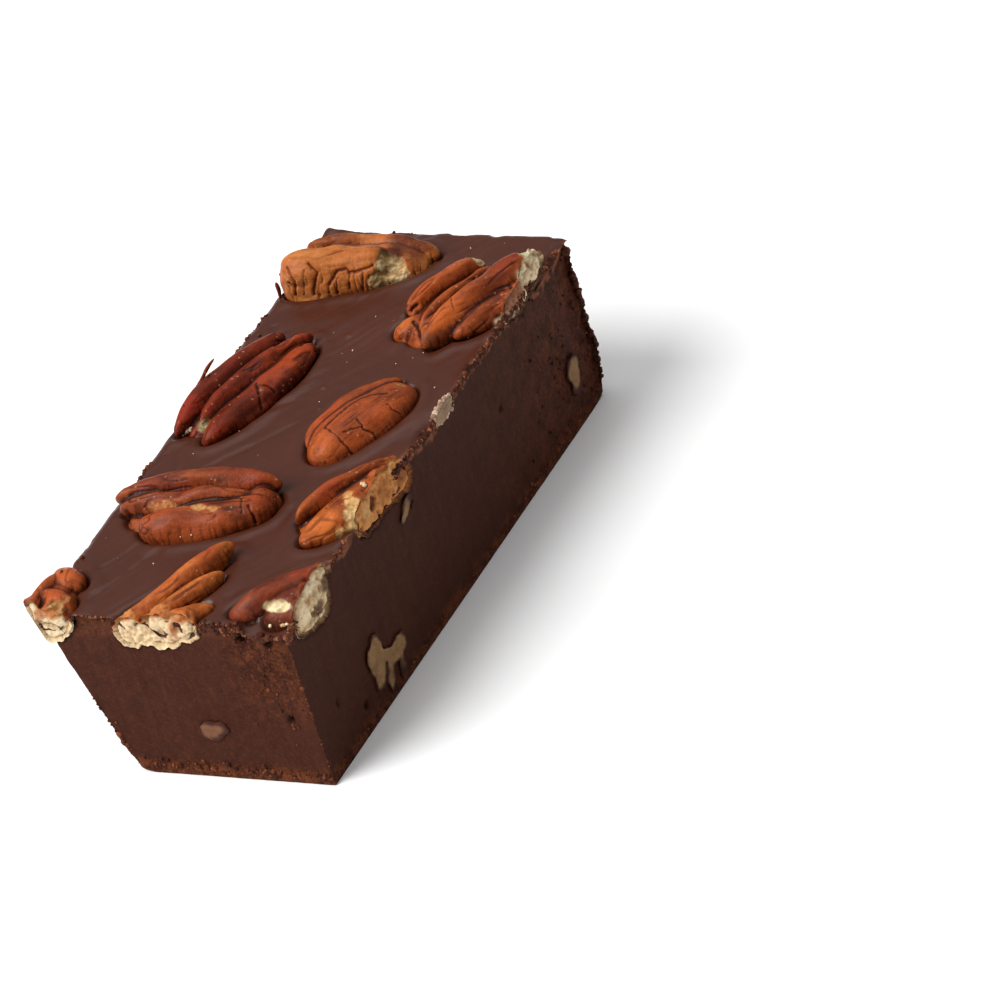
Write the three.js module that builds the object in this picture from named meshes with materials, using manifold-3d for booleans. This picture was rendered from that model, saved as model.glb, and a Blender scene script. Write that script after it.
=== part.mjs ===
// A cut bar of chocolate fudge with pecan halves pressed into its top.
// Millimetres, +Z up. +X is across the bar to its straight cut side, +Y runs along it to
// the crumbly far end, and z = 0 is the underside, which the bar lies on.

import * as THREE from 'three';
import { mergeVertices } from 'three/addons/utils/BufferGeometryUtils.js';
import Module from 'manifold-3d';

const wasm = await Module();
wasm.setup();

// The bar
const LENGTH = 111;
const WIDTH = 47.1;
const HEIGHT = 31;
const HALF_LENGTH = LENGTH / 2;
const HALF_WIDTH = WIDTH / 2;

// The left side was cut aslant, so the underside is narrower than the top, and the top
// overhangs the cut by a soft lip
const LEFT_SLANT = 9;
const LEFT_LIP = 1.2;
const LEFT_LIP_DROP = 3;
const LEFT_FOOT_RADIUS = 3;

// The far end's foot is rounded, as it lay in the corner of a lined tray
const FAR_FOOT_HEIGHT = 7;
const FAR_FOOT_REACH = 6;

// Relief of the cut faces and the top. It fades out between the two CALM_FOOT heights,
// so that the underside stays flat. LUMP_SEEDS keep the faces' lumps from looking alike
const CALM_FOOT = { low: 1, high: 5 };
const LUMP_SEEDS = { farEnd: 7, right: 19, left: 31, top: 3, rim: 43 };
const CRUMB_SIZE = 3.1;
const CRUMB_DEPTH = 1.0;
const SIDE_CRUMB_DEPTH = 0.55;
const SIDE_CRUMB_START = 12;
const RIM_CRUMB_DEPTH = 0.9;
const RIM_CRUMB_SIZE = 3.7;
const TOP_WAVE = 0.35;
const TOP_WAVE_LENGTH = 17;
const FAR_LEFT_TIP = 1.1;
const FAR_LEFT_TIP_REACH = 3.5;

// Fineness of the bar's faces: cells across, along and up
const BAR_CELLS = { across: 14, along: 34, up: 9 };
// How much closer together the rows of cells lie near the top and the underside
const ROW_PULL = 0.07;
// Fineness of one nut lobe: sides round it and rings from tip to tip
const LOBE_SIDES = 10;
const LOBE_RINGS = 8;
// Edges that stray less than this from their neighbours are merged away
const FINENESS = 0.09;
const HOLLOW_FINENESS = 0.17;
// Points closer than this are one point
const WELD = 1e-4;
const GRID_STEPS = 1e6;

// A nut lies in its hollow with this much air round it
const NUT_GAP = 0.3;

const FUDGE_COLOUR = 0x553226;
const SKIN_COLOUR = 0x96502b;
const KERNEL_COLOUR = 0xc3a67c;

const { max, min, abs, sqrt, sin, floor, exp, PI } = Math;

const lerp = (a, b, t) => a + (b - a) * t;

/** Eases from 0 at lo to 1 at hi. */
function ease(lo, hi, value) {
  const t = min(1, max(0, (value - lo) / (hi - lo)));
  return t * t * (3 - 2 * t);
}

/** A fixed value from -1 to 1 for one cell of a 3-D lattice. */
function latticeValue(i, j, k) {
  const wave = sin(i * 127.1 + j * 311.7 + k * 74.7) * 43758.5453;
  return 2 * (wave - floor(wave)) - 1;
}

/** Smooth lumps from -1 to 1, each about one unit wide. */
function lumps(x, y, z) {
  const [i, j, k] = [floor(x), floor(y), floor(z)];
  const [u, v, w] = [ease(0, 1, x - i), ease(0, 1, y - j), ease(0, 1, z - k)];
  const along = (b, c) => lerp(latticeValue(i, b, c), latticeValue(i + 1, b, c), u);
  const slice = (c) => lerp(along(j, c), along(j + 1, c), v);
  return lerp(slice(k), slice(k + 1), w);
}

/** Turns a closed geometry into a solid for joining and cutting. */
function toSolid(geometry) {
  geometry.deleteAttribute('normal');
  geometry.deleteAttribute('uv');
  const merged = mergeVertices(geometry, WELD);
  const mesh = new wasm.Mesh({
    numProp: 3,
    vertProperties: new Float32Array(merged.attributes.position.array),
    triVerts: new Uint32Array(merged.index.array),
  });
  return new wasm.Manifold(mesh);
}

/** The largest body of a solid, without the loose scraps that a cut leaves. */
function mainBody(solid) {
  const bodies = solid.decompose();
  return bodies.reduce((best, body) => (body.volume() > best.volume() ? body : best));
}

/** A named mesh that stands at the middle of its solid. */
function toMesh(name, solid, material) {
  const mesh = mainBody(solid).simplify(FINENESS).getMesh();
  const geometry = new THREE.BufferGeometry();
  geometry.setAttribute('position', new THREE.BufferAttribute(mesh.vertProperties, 3));
  geometry.setIndex(new THREE.BufferAttribute(mesh.triVerts, 1));
  geometry.computeBoundingBox();
  const middle = geometry.boundingBox.getCenter(new THREE.Vector3());
  geometry.translate(-middle.x, -middle.y, -middle.z);
  geometry.computeVertexNormals();
  const piece = new THREE.Mesh(geometry, material);
  piece.name = name;
  piece.position.copy(middle);
  return piece;
}

/** Where the slanted left side is at a height, without its lip and its rounded foot. */
const leftCut = (z) => LEFT_LIP - HALF_WIDTH + LEFT_SLANT * (HEIGHT - z) / HEIGHT;

/** How far a foot of some radius draws in at a height. */
function footDraw(z, height, reach) {
  const down = max(0, (height - z) / height);
  return reach * (1 - sqrt(max(0, 1 - down * down)));
}

/** Moves a point of the plain unit block to its place on the bar's surface. */
function barPoint(u, v, w) {
  const z = HEIGHT * (w - ROW_PULL * sin(2 * PI * w));
  const lip = LEFT_LIP * ease(HEIGHT - LEFT_LIP_DROP, HEIGHT, z);
  const left = leftCut(z) - lip + footDraw(z, LEFT_FOOT_RADIUS, LEFT_FOOT_RADIUS);
  const far = HALF_LENGTH - footDraw(z, FAR_FOOT_HEIGHT, FAR_FOOT_REACH);
  const point = new THREE.Vector3(lerp(left, HALF_WIDTH, u), lerp(-HALF_LENGTH, far, v), z);
  const lump = (size, seed) => lumps(point.x / size + seed, point.y / size, point.z / size);
  const pit = (seed) => (1 + lump(CRUMB_SIZE, seed)) / 2;
  const above = ease(CALM_FOOT.low, CALM_FOOT.high, z);

  if (v === 1) point.y -= above * CRUMB_DEPTH * pit(LUMP_SEEDS.farEnd);
  if (u === 1) {
    const rough = ease(SIDE_CRUMB_START, HALF_LENGTH, point.y);
    point.x -= above * rough * SIDE_CRUMB_DEPTH * pit(LUMP_SEEDS.right);
  }
  if (u === 0) point.x += above * SIDE_CRUMB_DEPTH * pit(LUMP_SEEDS.left);
  if (w === 1) {
    point.z += TOP_WAVE * lump(TOP_WAVE_LENGTH, LUMP_SEEDS.top) - TOP_WAVE / 2;
    const tipDistance = (point.x + HALF_WIDTH) ** 2 + (point.y - HALF_LENGTH) ** 2;
    point.z += FAR_LEFT_TIP * exp(-tipDistance / FAR_LEFT_TIP_REACH ** 2);
    const sideRim = u === 1 || u === 0;
    const notch = max(0, lump(RIM_CRUMB_SIZE, LUMP_SEEDS.rim));
    if (sideRim) point.z -= RIM_CRUMB_DEPTH * notch;
  }
  return point;
}

/** The whole bar before the nuts' hollows are cut. */
function barSolid() {
  const { across, along, up } = BAR_CELLS;
  const block = new THREE.BoxGeometry(1, 1, 1, across, along, up);
  const place = block.attributes.position;
  for (let n = 0; n < place.count; n += 1) {
    const corner = [place.getX(n), place.getY(n), place.getZ(n)];
    const [u, v, w] = corner.map((c) => Math.round((c + 0.5) * GRID_STEPS) / GRID_STEPS);
    place.setXYZ(n, ...barPoint(u, v, w));
  }
  return toSolid(block);
}

/**
 * The space between the knife's plane cuts, from below the bar to well above it.
 * leftRoom is how far it reaches out past the slanted left cut.
 */
function insideCuts(leftRoom) {
  const [low, high] = [-HEIGHT, 2 * HEIGHT];
  const block = new THREE.BoxGeometry(1, LENGTH, 1);
  const place = block.attributes.position;
  for (let n = 0; n < place.count; n += 1) {
    const z = place.getZ(n) < 0 ? low : high;
    place.setXYZ(n, place.getX(n) < 0 ? leftCut(z) - leftRoom : HALF_WIDTH, place.getY(n), z);
  }
  return toSolid(block);
}

/**
 * One lobe of a nut: a long rounded swell between two tips.
 * from and to are the tips, out is the way its back faces, deep its whole thickness,
 * half its half-width, bow how far its middle bends to the left, and blunt how square
 * its ends are. It is grown on all sides by grow.
 */
function lobeSolid({ from, to, out, half, deep, bow = 0, blunt = 2.6 }, grow) {
  const start = new THREE.Vector3(...from);
  const end = new THREE.Vector3(...to);
  const ahead = end.clone().sub(start).normalize();
  const facing = out.clone().addScaledVector(ahead, -out.dot(ahead)).normalize();
  const aside = ahead.clone().cross(facing);
  start.addScaledVector(ahead, -grow);
  end.addScaledVector(ahead, grow);
  const ball = new THREE.SphereGeometry(1, LOBE_SIDES, LOBE_RINGS);
  const place = ball.attributes.position;
  for (let n = 0; n < place.count; n += 1) {
    const s = max(-1, min(1, place.getY(n)));
    const ring = sqrt(max(0, 1 - s * s));
    const taper = ring < WELD ? 0 : sqrt(1 - abs(s) ** blunt) / ring;
    const middle = start.clone().lerp(end, (s + 1) / 2);
    middle.addScaledVector(aside, -bow * (1 - s * s));
    middle.addScaledVector(aside, place.getX(n) * taper * (half + grow));
    middle.addScaledVector(facing, place.getZ(n) * taper * (deep / 2 + grow));
    place.setXYZ(n, middle.x, middle.y, middle.z);
  }
  return toSolid(ball);
}

/** A nut as the union of its lobes, grown on all sides by some air. */
function nutSolid(lobes, grow = 0) {
  const solids = lobes.map((lobe) => lobeSolid(lobe, grow));
  return solids.reduce((nut, lobe) => nut.add(lobe));
}

const UP = new THREE.Vector3(0, 0, 1);
const RIGHT = new THREE.Vector3(1, 0, 0);
const LEFT = new THREE.Vector3(-1, 0, 0);
const FRONT = new THREE.Vector3(0, -1, 0);
const BACK = new THREE.Vector3(0, 1, 0);

/**
 * A lobe of a pecan on the bar's top. Each tip is [x, y, rise]; rise is how high the
 * lobe's back stands above the top there, and swell how much more at its middle.
 */
function topLobe([x0, y0, rise0], [x1, y1, rise1], { half, deep, swell, bow = 0, blunt = 2.6 }) {
  const sink = HEIGHT - deep / 2 + swell;
  return {
    from: [x0, y0, sink + rise0], to: [x1, y1, sink + rise1], out: UP, half, deep, bow, blunt,
  };
}

// Pecan halves, each from its lobes: the sunk body first, then the ridges that show
const PECANS = {
  pecan_far_left: [
    topLobe([-22.4, 40, 0], [1.5, 47, 0], { half: 6, deep: 9, swell: 4 }),
    topLobe([-23, 36.6, 1], [-3.4, 42.6, 0], { half: 3.7, deep: 11, swell: 6, blunt: 5 }),
    topLobe([-19.6, 41.2, 3], [0.4, 44.8, 2], { half: 2, deep: 7, swell: 3.2 }),
    topLobe([-20, 43.2, 2], [3, 47.6, 0], { half: 2.5, deep: 7, swell: 4.6, bow: 1 }),
  ],
  pecan_far_right: [
    topLobe([9, 22.5, 0], [20, 45, 0], { half: 6, deep: 7, swell: 2 }),
    topLobe([13, 20.3, 0], [24.8, 46.5, 1], { half: 3, deep: 8, swell: 5, bow: 0.7 }),
    topLobe([5.7, 29, 0], [13.7, 43.5, 1], { half: 2.3, deep: 6, swell: 4, bow: 0.6 }),
    topLobe([10, 25.5, 1], [16, 42.5, 1], { half: 1.3, deep: 5, swell: 2.8 }),
    topLobe([16.8, 23.3, 0], [26, 44.5, 0], { half: 2.7, deep: 5.4, swell: 3.2, bow: -0.5 }),
    topLobe([5.2, 24, 0], [10.5, 29.5, 0], { half: 2.6, deep: 5, swell: 2 }),
  ],
  pecan_mid_left: [
    topLobe([-19.6, -6, 0], [-10.8, 21, 0], { half: 5.2, deep: 7, swell: 0.8 }),
    topLobe([-21.8, -6.8, 0], [-14.5, 21.3, 0], { half: 2.4, deep: 7, swell: 4.6, bow: 0.4 }),
    topLobe([-17.8, -5, 0], [-9.8, 22, 0], { half: 2, deep: 6, swell: 4, bow: 0.8 }),
    topLobe([-16.3, -8.3, 0], [-8.5, 21, 0], { half: 2.6, deep: 6, swell: 2.6, bow: -1 }),
  ],
  pecan_centre: [
    topLobe([6.8, -11.6, 0], [15, 10, 0], { half: 5.8, deep: 8, swell: 3.4 }),
    topLobe([4.3, -8, 0], [13, 11, 0], { half: 2.4, deep: 5, swell: 2.6, bow: 1.8 }),
  ],
  pecan_left: [
    topLobe([-20.4, -30, 0], [6, -23, 0], { half: 5.8, deep: 7, swell: 1.2 }),
    topLobe([-21.2, -27.4, 1], [6.4, -20.2, 0], { half: 2.3, deep: 6, swell: 4.6, bow: 1.4 }),
    topLobe([-20.5, -28.2, 0], [3, -24, 1], { half: 1.9, deep: 6, swell: 4, bow: -1 }),
    topLobe([-16.4, -33, 1], [6.2, -23.4, 0], {
      half: 3.4, deep: 7, swell: 3, bow: -1.8, blunt: 5,
    }),
  ],
  pecan_right_cut: [
    topLobe([14.5, -31.4, 0], [27.5, -10, 0], { half: 6, deep: 5.4, swell: 1.2 }),
    topLobe([12.7, -29, 0], [24, -12, 0], { half: 2, deep: 6, swell: 3.8, bow: 0.7 }),
    topLobe([16.3, -34, 0], [26.5, -12.5, 0], { half: 3.6, deep: 6.4, swell: 3.2 }),
    topLobe([20, -19, 1], [27, -8, -3], { half: 2.8, deep: 5, swell: 1.6 }),
  ],
  pecan_corner_left: [
    topLobe([-22.6, -41.6, 0], [-18.6, -63, 0], { half: 3.6, deep: 6.4, swell: 0.9 }),
    topLobe([-23.8, -44.4, 0], [-17.2, -48, 0], { half: 2.2, deep: 5, swell: 2.9 }),
    topLobe([-24.2, -50.6, 0], [-16, -54, 0], { half: 2.6, deep: 6, swell: 2.8 }),
  ],
  pecan_front_cut: [
    topLobe([-5, -63, -1], [6, -39, -1.5], { half: 5.9, deep: 5.6, swell: 0.9 }),
    topLobe([-10.5, -61.5, -5], [5.2, -36.7, 0], { half: 2.4, deep: 7, swell: 4.8, bow: -1.2 }),
    topLobe([-3, -61, -1], [6.6, -42.6, 0], { half: 1.9, deep: 5, swell: 3 }),
    topLobe([1, -60.5, 0], [7.8, -49.6, 0], { half: 2.4, deep: 6, swell: 1.9 }),
  ],
  pecan_corner_right: [
    topLobe([12.3, -53, 0], [25.4, -39, 0], { half: 2.8, deep: 6, swell: 2.8 }),
    topLobe([17.5, -52, 0], [28, -40, 0], { half: 4.2, deep: 8, swell: 1.8 }),
  ],
};

/** A lobe of a nut piece in a cut face; its tips lie on a line through the face. */
const faceLobe = (from, to, out, half, deep) => ({ from, to, out, half, deep });

// Broken pieces of nut that the knife went through, seen in the cut faces
const CHUNKS = {
  chunk_side_front: [
    faceLobe([HALF_WIDTH, -36.6, 12], [HALF_WIDTH, -31.4, 3], RIGHT, 2.2, 5),
    faceLobe([HALF_WIDTH, -34.6, 12], [HALF_WIDTH, -30, 2], RIGHT, 0.9, 4),
    faceLobe([HALF_WIDTH, -35, 11.6], [HALF_WIDTH, -26, 6.4], RIGHT, 1.5, 4.4),
    faceLobe([HALF_WIDTH, -29.4, 8.6], [HALF_WIDTH, -26.4, 3.4], RIGHT, 1.5, 4),
  ],
  chunk_side_far: [
    faceLobe([HALF_WIDTH, 43.4, 6.6], [HALF_WIDTH, 46, 12.4], RIGHT, 1.9, 5),
  ],
  chunk_side_sliver: [
    faceLobe([HALF_WIDTH, -16.6, 22.4], [HALF_WIDTH, -12.4, 24.8], RIGHT, 0.9, 3),
  ],
  chunk_rim_right: [
    faceLobe([HALF_WIDTH, 2, 30], [HALF_WIDTH, 8, 30.6], RIGHT, 1.2, 3),
  ],
  chunk_front: [
    faceLobe([1, -HALF_LENGTH, 9.2], [6.6, -HALF_LENGTH, 10.2], FRONT, 1.5, 4),
  ],
  chunk_left_front: [
    faceLobe([leftCut(14), -30, 12], [leftCut(17), -24, 18], LEFT, 2, 5),
    faceLobe([leftCut(13), -26, 12], [leftCut(16), -23, 17], LEFT, 1.3, 4),
  ],
  chunk_left_far: [
    faceLobe([leftCut(9), 22, 8], [leftCut(10), 29, 10], LEFT, 1.8, 5),
  ],
  chunk_far_end: [
    faceLobe([-6, HALF_LENGTH, 17], [0, HALF_LENGTH, 13], BACK, 2, 6),
    faceLobe([-3, HALF_LENGTH, 17], [-1, HALF_LENGTH, 11], BACK, 1.2, 5),
  ],
};

// The smooth hollow that a lost half of the corner pecan left in the rim
const SOCKET = [
  topLobe([14.6, -54.4, 0], [26.5, -54.6, 0], { half: 3, deep: 4.4, swell: 2 }),
];

const fudge = new THREE.MeshStandardMaterial({ color: FUDGE_COLOUR, roughness: 0.5, metalness: 0 });
const nutSkin = new THREE.MeshStandardMaterial({ color: SKIN_COLOUR, roughness: 0.55, metalness: 0 });
const kernel = new THREE.MeshStandardMaterial({ color: KERNEL_COLOUR, roughness: 0.7, metalness: 0 });

const nuts = new THREE.Group();
let body = barSolid().subtract(nutSolid(SOCKET));
for (const [pieces, material, leftRoom] of [[PECANS, nutSkin, LEFT_LIP], [CHUNKS, kernel, 0]]) {
  const cuts = insideCuts(leftRoom);
  for (const [name, lobes] of Object.entries(pieces)) {
    nuts.add(toMesh(name, nutSolid(lobes).intersect(cuts), material));
    body = body.subtract(nutSolid(lobes, NUT_GAP).simplify(HOLLOW_FINENESS));
  }
}

const bar = new THREE.Group();
bar.add(toMesh('fudge', body, fudge), nuts);

export default bar;
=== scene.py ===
"""A cut bar of chocolate fudge with pecan halves pressed into its top.

The bar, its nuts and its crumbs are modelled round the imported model, which fixes where
each piece is. Shapes are worked out in millimetres in the bar's own frame: +X is across
the bar to its straight cut side, +Y runs along it to the crumbly far end, and z = 0 is the
underside. Meshes are written in metres.
"""

import itertools
import logging
import math
from collections.abc import Callable
from dataclasses import dataclass, field, replace
from enum import Enum

import bpy
import numpy as np
from mathutils import Matrix, Vector
from mathutils.bvhtree import BVHTree


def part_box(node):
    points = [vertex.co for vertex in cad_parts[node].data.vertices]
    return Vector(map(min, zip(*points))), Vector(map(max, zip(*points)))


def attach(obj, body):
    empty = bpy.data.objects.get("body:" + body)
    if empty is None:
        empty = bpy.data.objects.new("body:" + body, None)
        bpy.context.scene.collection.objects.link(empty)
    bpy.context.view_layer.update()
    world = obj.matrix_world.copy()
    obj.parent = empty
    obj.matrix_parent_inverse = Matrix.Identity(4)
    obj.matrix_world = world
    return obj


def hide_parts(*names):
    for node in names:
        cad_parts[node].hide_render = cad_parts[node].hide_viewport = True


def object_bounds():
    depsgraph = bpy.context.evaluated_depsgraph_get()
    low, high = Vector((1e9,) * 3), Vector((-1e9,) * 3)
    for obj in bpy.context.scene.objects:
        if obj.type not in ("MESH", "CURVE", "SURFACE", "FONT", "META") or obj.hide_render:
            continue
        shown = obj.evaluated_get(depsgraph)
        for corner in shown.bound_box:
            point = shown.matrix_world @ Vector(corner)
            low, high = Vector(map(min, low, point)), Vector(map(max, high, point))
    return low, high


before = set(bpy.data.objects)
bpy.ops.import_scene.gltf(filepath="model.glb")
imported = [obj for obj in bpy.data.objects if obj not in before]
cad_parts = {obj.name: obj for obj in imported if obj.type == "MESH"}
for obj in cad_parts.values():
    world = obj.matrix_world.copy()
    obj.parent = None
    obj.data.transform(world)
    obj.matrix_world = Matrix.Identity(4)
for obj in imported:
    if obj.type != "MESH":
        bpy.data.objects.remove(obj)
CAD_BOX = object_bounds()

log = logging.getLogger("fudge")

MM = 0.001
BODY = "root"

# The bar's own sizes in mm, of which its node gives the place of the straight cut side
HALF_WIDTH = round(float(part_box("fudge")[1][0]) / MM, 2)
HALF_LENGTH = 55.5
HEIGHT = 31.0
BOX_LOW, BOX_HIGH = (np.array(corner) / MM for corner in CAD_BOX)

# The slanted left cut, and the rounded foot of the far end
LEFT_SLANT = 9.0
LEFT_LIP = 1.2
LEFT_LIP_DROP = 3.0
LEFT_FOOT_RADIUS = 3.0
FAR_FOOT_HEIGHT = 7.0
FAR_FOOT_REACH = 6.0

# A distance in mm beyond everything here, and a number that keeps a divisor above 0
BEYOND_ALL = 99.0
TINY = 1e-9

Array = np.ndarray
Point = tuple[float, float, float]
Colour = tuple[int, int, int]
Piece = bpy.types.Object
Socket = bpy.types.NodeSocket


def ease(low: float, high: float, value: Array) -> Array:
    """Eases from 0 at low to 1 at high.

    Args:
        low: The value where the result is 0.
        high: The value where the result is 1. It may be below low.
        value: What is tested.

    Returns:
        A number from 0 to 1 for each value.
    """
    t = np.clip((value - low) / (high - low), 0.0, 1.0)
    return t * t * (3.0 - 2.0 * t)


def bell(distance: Array, width: float) -> Array:
    """A smooth hump of height 1 at distance 0, gone after about twice its width."""
    return np.exp(-np.square(distance / width))


def mix(low: float, high: float, share: Array) -> Array:
    """Numbers from low to high, by a share from 0 to 1."""
    return low + (high - low) * share


def blend(tone: Array, other: Array, share: Array) -> Array:
    """Blends a colour, or a row of them, into another one by each vertex's share."""
    return tone + (other - tone) * share[:, None]


def linear(colour: Colour) -> Array:
    """A screen colour of 0 to 255 as linear light."""
    c = np.array(colour, float) / 255.0
    return np.where(c <= 0.04045, c / 12.92, ((c + 0.055) / 1.055) ** 2.4)


class Grain:
    """Fixed noise in three dimensions, the same in every run."""

    AXIS_FACTORS = (374761393, 668265263, 1274126177)
    SEED_FACTOR = 974711
    STIRS = ((13, 1103515245), (16, 1597334677))
    LAST_SHIFT = 15
    WORD = 0xFFFFFFFF
    KEPT = 0xFFFFFF

    @classmethod
    def cell_value(cls, cell: Array, seed: int) -> Array:
        """A fixed value from 0 to 1 for each cell of a lattice.

        Args:
            cell: Whole numbers, three to a row.
            seed: Picks one of many lattices.

        Returns:
            One value for each row.
        """
        parts = (cell[..., n].astype(np.int64) * factor for n, factor in enumerate(cls.AXIS_FACTORS))
        word = (sum(parts) + seed * cls.SEED_FACTOR) & cls.WORD
        for shift, factor in cls.STIRS:
            word = ((word ^ (word >> shift)) * factor) & cls.WORD
        return ((word ^ (word >> cls.LAST_SHIFT)) & cls.KEPT) / cls.KEPT

    @classmethod
    def lumps(cls, points: Array, size: object, seed: int) -> Array:
        """Smooth lumps.

        Args:
            points: Places in mm, three to a row.
            size: How large a lump is, as one number or one for each axis.
            seed: Picks the pattern.

        Returns:
            A value from -1 to 1 for each point.
        """
        place = points / np.asarray(size, float)
        base = np.floor(place)
        part = place - base
        part = part * part * (3.0 - 2.0 * part)
        total = np.zeros(len(points))
        for corner in itertools.product((0, 1), repeat=3):
            step = np.array(corner)
            weight = np.prod(np.where(step, part, 1.0 - part), axis=-1)
            total += weight * cls.cell_value(base + step, seed)
        return 2.0 * total - 1.0

    @classmethod
    def fractal(cls, points: Array, size: object, seed: int, layers: int = 3) -> Array:
        """Lumps with smaller lumps on them.

        Args:
            points: Places in mm, three to a row.
            size: How large the largest lumps are.
            seed: Picks the pattern.
            layers: How many sizes there are, each half the last one.

        Returns:
            A value of about -1 to 1 for each point.
        """
        total = np.zeros(len(points))
        for layer in range(layers):
            scale = 0.5**layer
            total += scale * cls.lumps(points, np.asarray(size, float) * scale, seed + layer)
        return total / (2.0 - 0.5 ** (layers - 1))

    @classmethod
    def creases(cls, points: Array, size: object, seed: int, sharp: float = 8.0) -> Array:
        """Thin branching lines, where smooth lumps cross zero.

        Args:
            points: Places in mm, three to a row.
            size: How far apart the lines are, about.
            seed: Picks the pattern.
            sharp: How thin the lines are.

        Returns:
            1 on a line, and 0 away from it.
        """
        return np.exp(-np.square(sharp * cls.lumps(points, size, seed)))

    @classmethod
    def pebbles(cls, points: Array, size: float, seed: int) -> tuple[Array, Array, Array]:
        """Packed grains of uneven shape.

        Args:
            points: Places in mm, three to a row.
            size: How large a grain is.
            seed: Picks the pattern.

        Returns:
            The distance to the nearest grain's middle, how far the next one is behind it,
            both in grains, and the nearest grain's own value from 0 to 1.
        """
        place = points / size
        base = np.floor(place)
        nearest = np.full(len(points), BEYOND_ALL)
        second = nearest.copy()
        own = np.zeros(len(points))
        for step in itertools.product((-1, 0, 1), repeat=3):
            cell = base + np.array(step)
            spot = np.stack([cls.cell_value(cell, seed + axis) for axis in range(3)], 1)
            gap = np.linalg.norm(cell + spot - place, axis=1)
            closer = gap < nearest
            second = np.where(closer, nearest, np.minimum(second, gap))
            own = np.where(closer, spot[:, 0], own)
            nearest = np.where(closer, gap, nearest)
        return nearest, second - nearest, own


@dataclass(frozen=True)
class Pattern:
    """One pattern of fixed noise, by its kind, its size in mm and its seed.

    form is how many layers it has, or how thin its lines are.
    """

    kind: Callable
    size: object
    seed: int
    form: float | None = None

    def at(self, points: Array, seed: int = 0) -> Array:
        """The noise at places in mm, with a piece's own seed added."""
        form = () if self.form is None else (self.form,)
        return self.kind(points, self.size, self.seed + seed, *form)


def along_line(points: Array, line: Array, reach: float = 2.5) -> Array:
    """The distance from each point to a line of straight stretches.

    Args:
        points: Places in mm, three to a row.
        line: The line's corners in mm, three to a row.
        reach: The distance beyond which only a large number is given.

    Returns:
        One distance for each point.
    """
    best = np.full(len(points), BEYOND_ALL)
    near = np.all((points > line.min(0) - reach) & (points < line.max(0) + reach), axis=1)
    close = points[near]
    for start, end in zip(line[:-1], line[1:]):
        run = end - start
        share = np.clip((close - start) @ run / max(run @ run, TINY), 0.0, 1.0)
        gap = np.linalg.norm(close - start - share[:, None] * run, axis=1)
        best[near] = np.minimum(best[near], gap)
    return best


def laid_on(points: Array, line: Array, step: float = 0.35) -> Array:
    """A line divided into short stretches, with each corner moved to the nearest point.

    Args:
        points: The points of a surface in mm, three to a row.
        line: The line's corners in mm, three to a row.
        step: The length of a stretch.

    Returns:
        The corners of the line on the surface.
    """
    corners = [line[0]]
    for start, end in zip(line[:-1], line[1:]):
        count = max(1, int(np.linalg.norm(end - start) / step))
        corners.extend(start + (end - start) * n / count for n in range(1, count + 1))
    return np.array([points[np.argmin(((points - corner) ** 2).sum(1))] for corner in corners])


def deselect() -> None:
    """Deselects every object, because an operator acts on all that is selected."""
    bpy.ops.object.select_all(action="DESELECT")


def alone(piece: Piece) -> None:
    """Makes a piece the one selected and active object."""
    deselect()
    piece.select_set(True)
    bpy.context.view_layer.objects.active = piece


def pulled(parts: bpy.types.bpy_prop_collection, name: str, width: int, kind: type) -> Array:
    """One property of all of a mesh's parts of a kind, width numbers to a row."""
    flat = np.empty(len(parts) * width, kind)
    parts.foreach_get(name, flat)
    return flat.reshape(-1, width)


def places(piece: Piece) -> Array:
    """A piece's vertices in mm, three numbers to a row."""
    return pulled(piece.data.vertices, "co", 3, float) / MM


def put(piece: Piece, points: Array) -> None:
    """Moves a piece's vertices to places in mm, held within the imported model's box."""
    held = np.clip(points, BOX_LOW, BOX_HIGH)
    piece.data.vertices.foreach_set("co", (held * MM).ravel())
    piece.data.update()


def normals(piece: Piece) -> Array:
    """A piece's vertex normals, three numbers to a row."""
    return pulled(piece.data.vertex_normals, "vector", 3, float)


def edges(piece: Piece) -> Array:
    """A piece's edges as pairs of vertex numbers."""
    return pulled(piece.data.edges, "vertices", 2, np.int64)


def modelled(name: str, points: Array, faces: list[tuple[int, ...]]) -> Piece:
    """A new piece from its vertices in mm and its faces.

    Args:
        name: The piece's name.
        points: Its vertices, three numbers to a row.
        faces: Each face's vertex numbers.

    Returns:
        The piece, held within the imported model's box.
    """
    mesh = bpy.data.meshes.new(name)
    mesh.from_pydata([tuple(p) for p in points * MM], [], faces)
    mesh.update()
    piece = bpy.data.objects.new(name, mesh)
    bpy.context.scene.collection.objects.link(piece)
    put(piece, points)
    return piece


def relaxed(values: Array, pairs: Array, rounds: int) -> Array:
    """Values spread out over a mesh, as by heat.

    Args:
        values: One number or one row for each vertex.
        pairs: The mesh's edges.
        rounds: How often each vertex takes the mean of its neighbours.

    Returns:
        The values after that.
    """
    count = len(values)
    rows = values.reshape(count, -1)
    ends = np.concatenate([pairs[:, 0], pairs[:, 1]])
    others = np.concatenate([pairs[:, 1], pairs[:, 0]])
    degree = np.maximum(np.bincount(ends, minlength=count), 1)
    for _ in range(rounds):
        sums = [np.bincount(ends, rows[others, n], count) for n in range(rows.shape[1])]
        rows = 0.5 * rows + 0.5 * np.stack(sums, 1) / degree[:, None]
    return rows.reshape(values.shape)


def paint(piece: Piece, name: str, values: Array) -> None:
    """Stores a colour or a number for each vertex as an attribute of the mesh.

    Args:
        piece: The piece.
        name: The attribute's name, which a material reads.
        values: Three numbers to a row for a colour, or one number for each vertex.
    """
    kind, entry = ("FLOAT_COLOR", "color") if values.ndim == 2 else ("FLOAT", "value")
    if values.ndim == 2:
        values = np.concatenate([np.clip(values, 0.0, 1.0), np.ones((len(values), 1))], 1)
    layer = piece.data.attributes.new(name, kind, "POINT")
    layer.data.foreach_set(entry, values.astype(np.float32).ravel())


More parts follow.
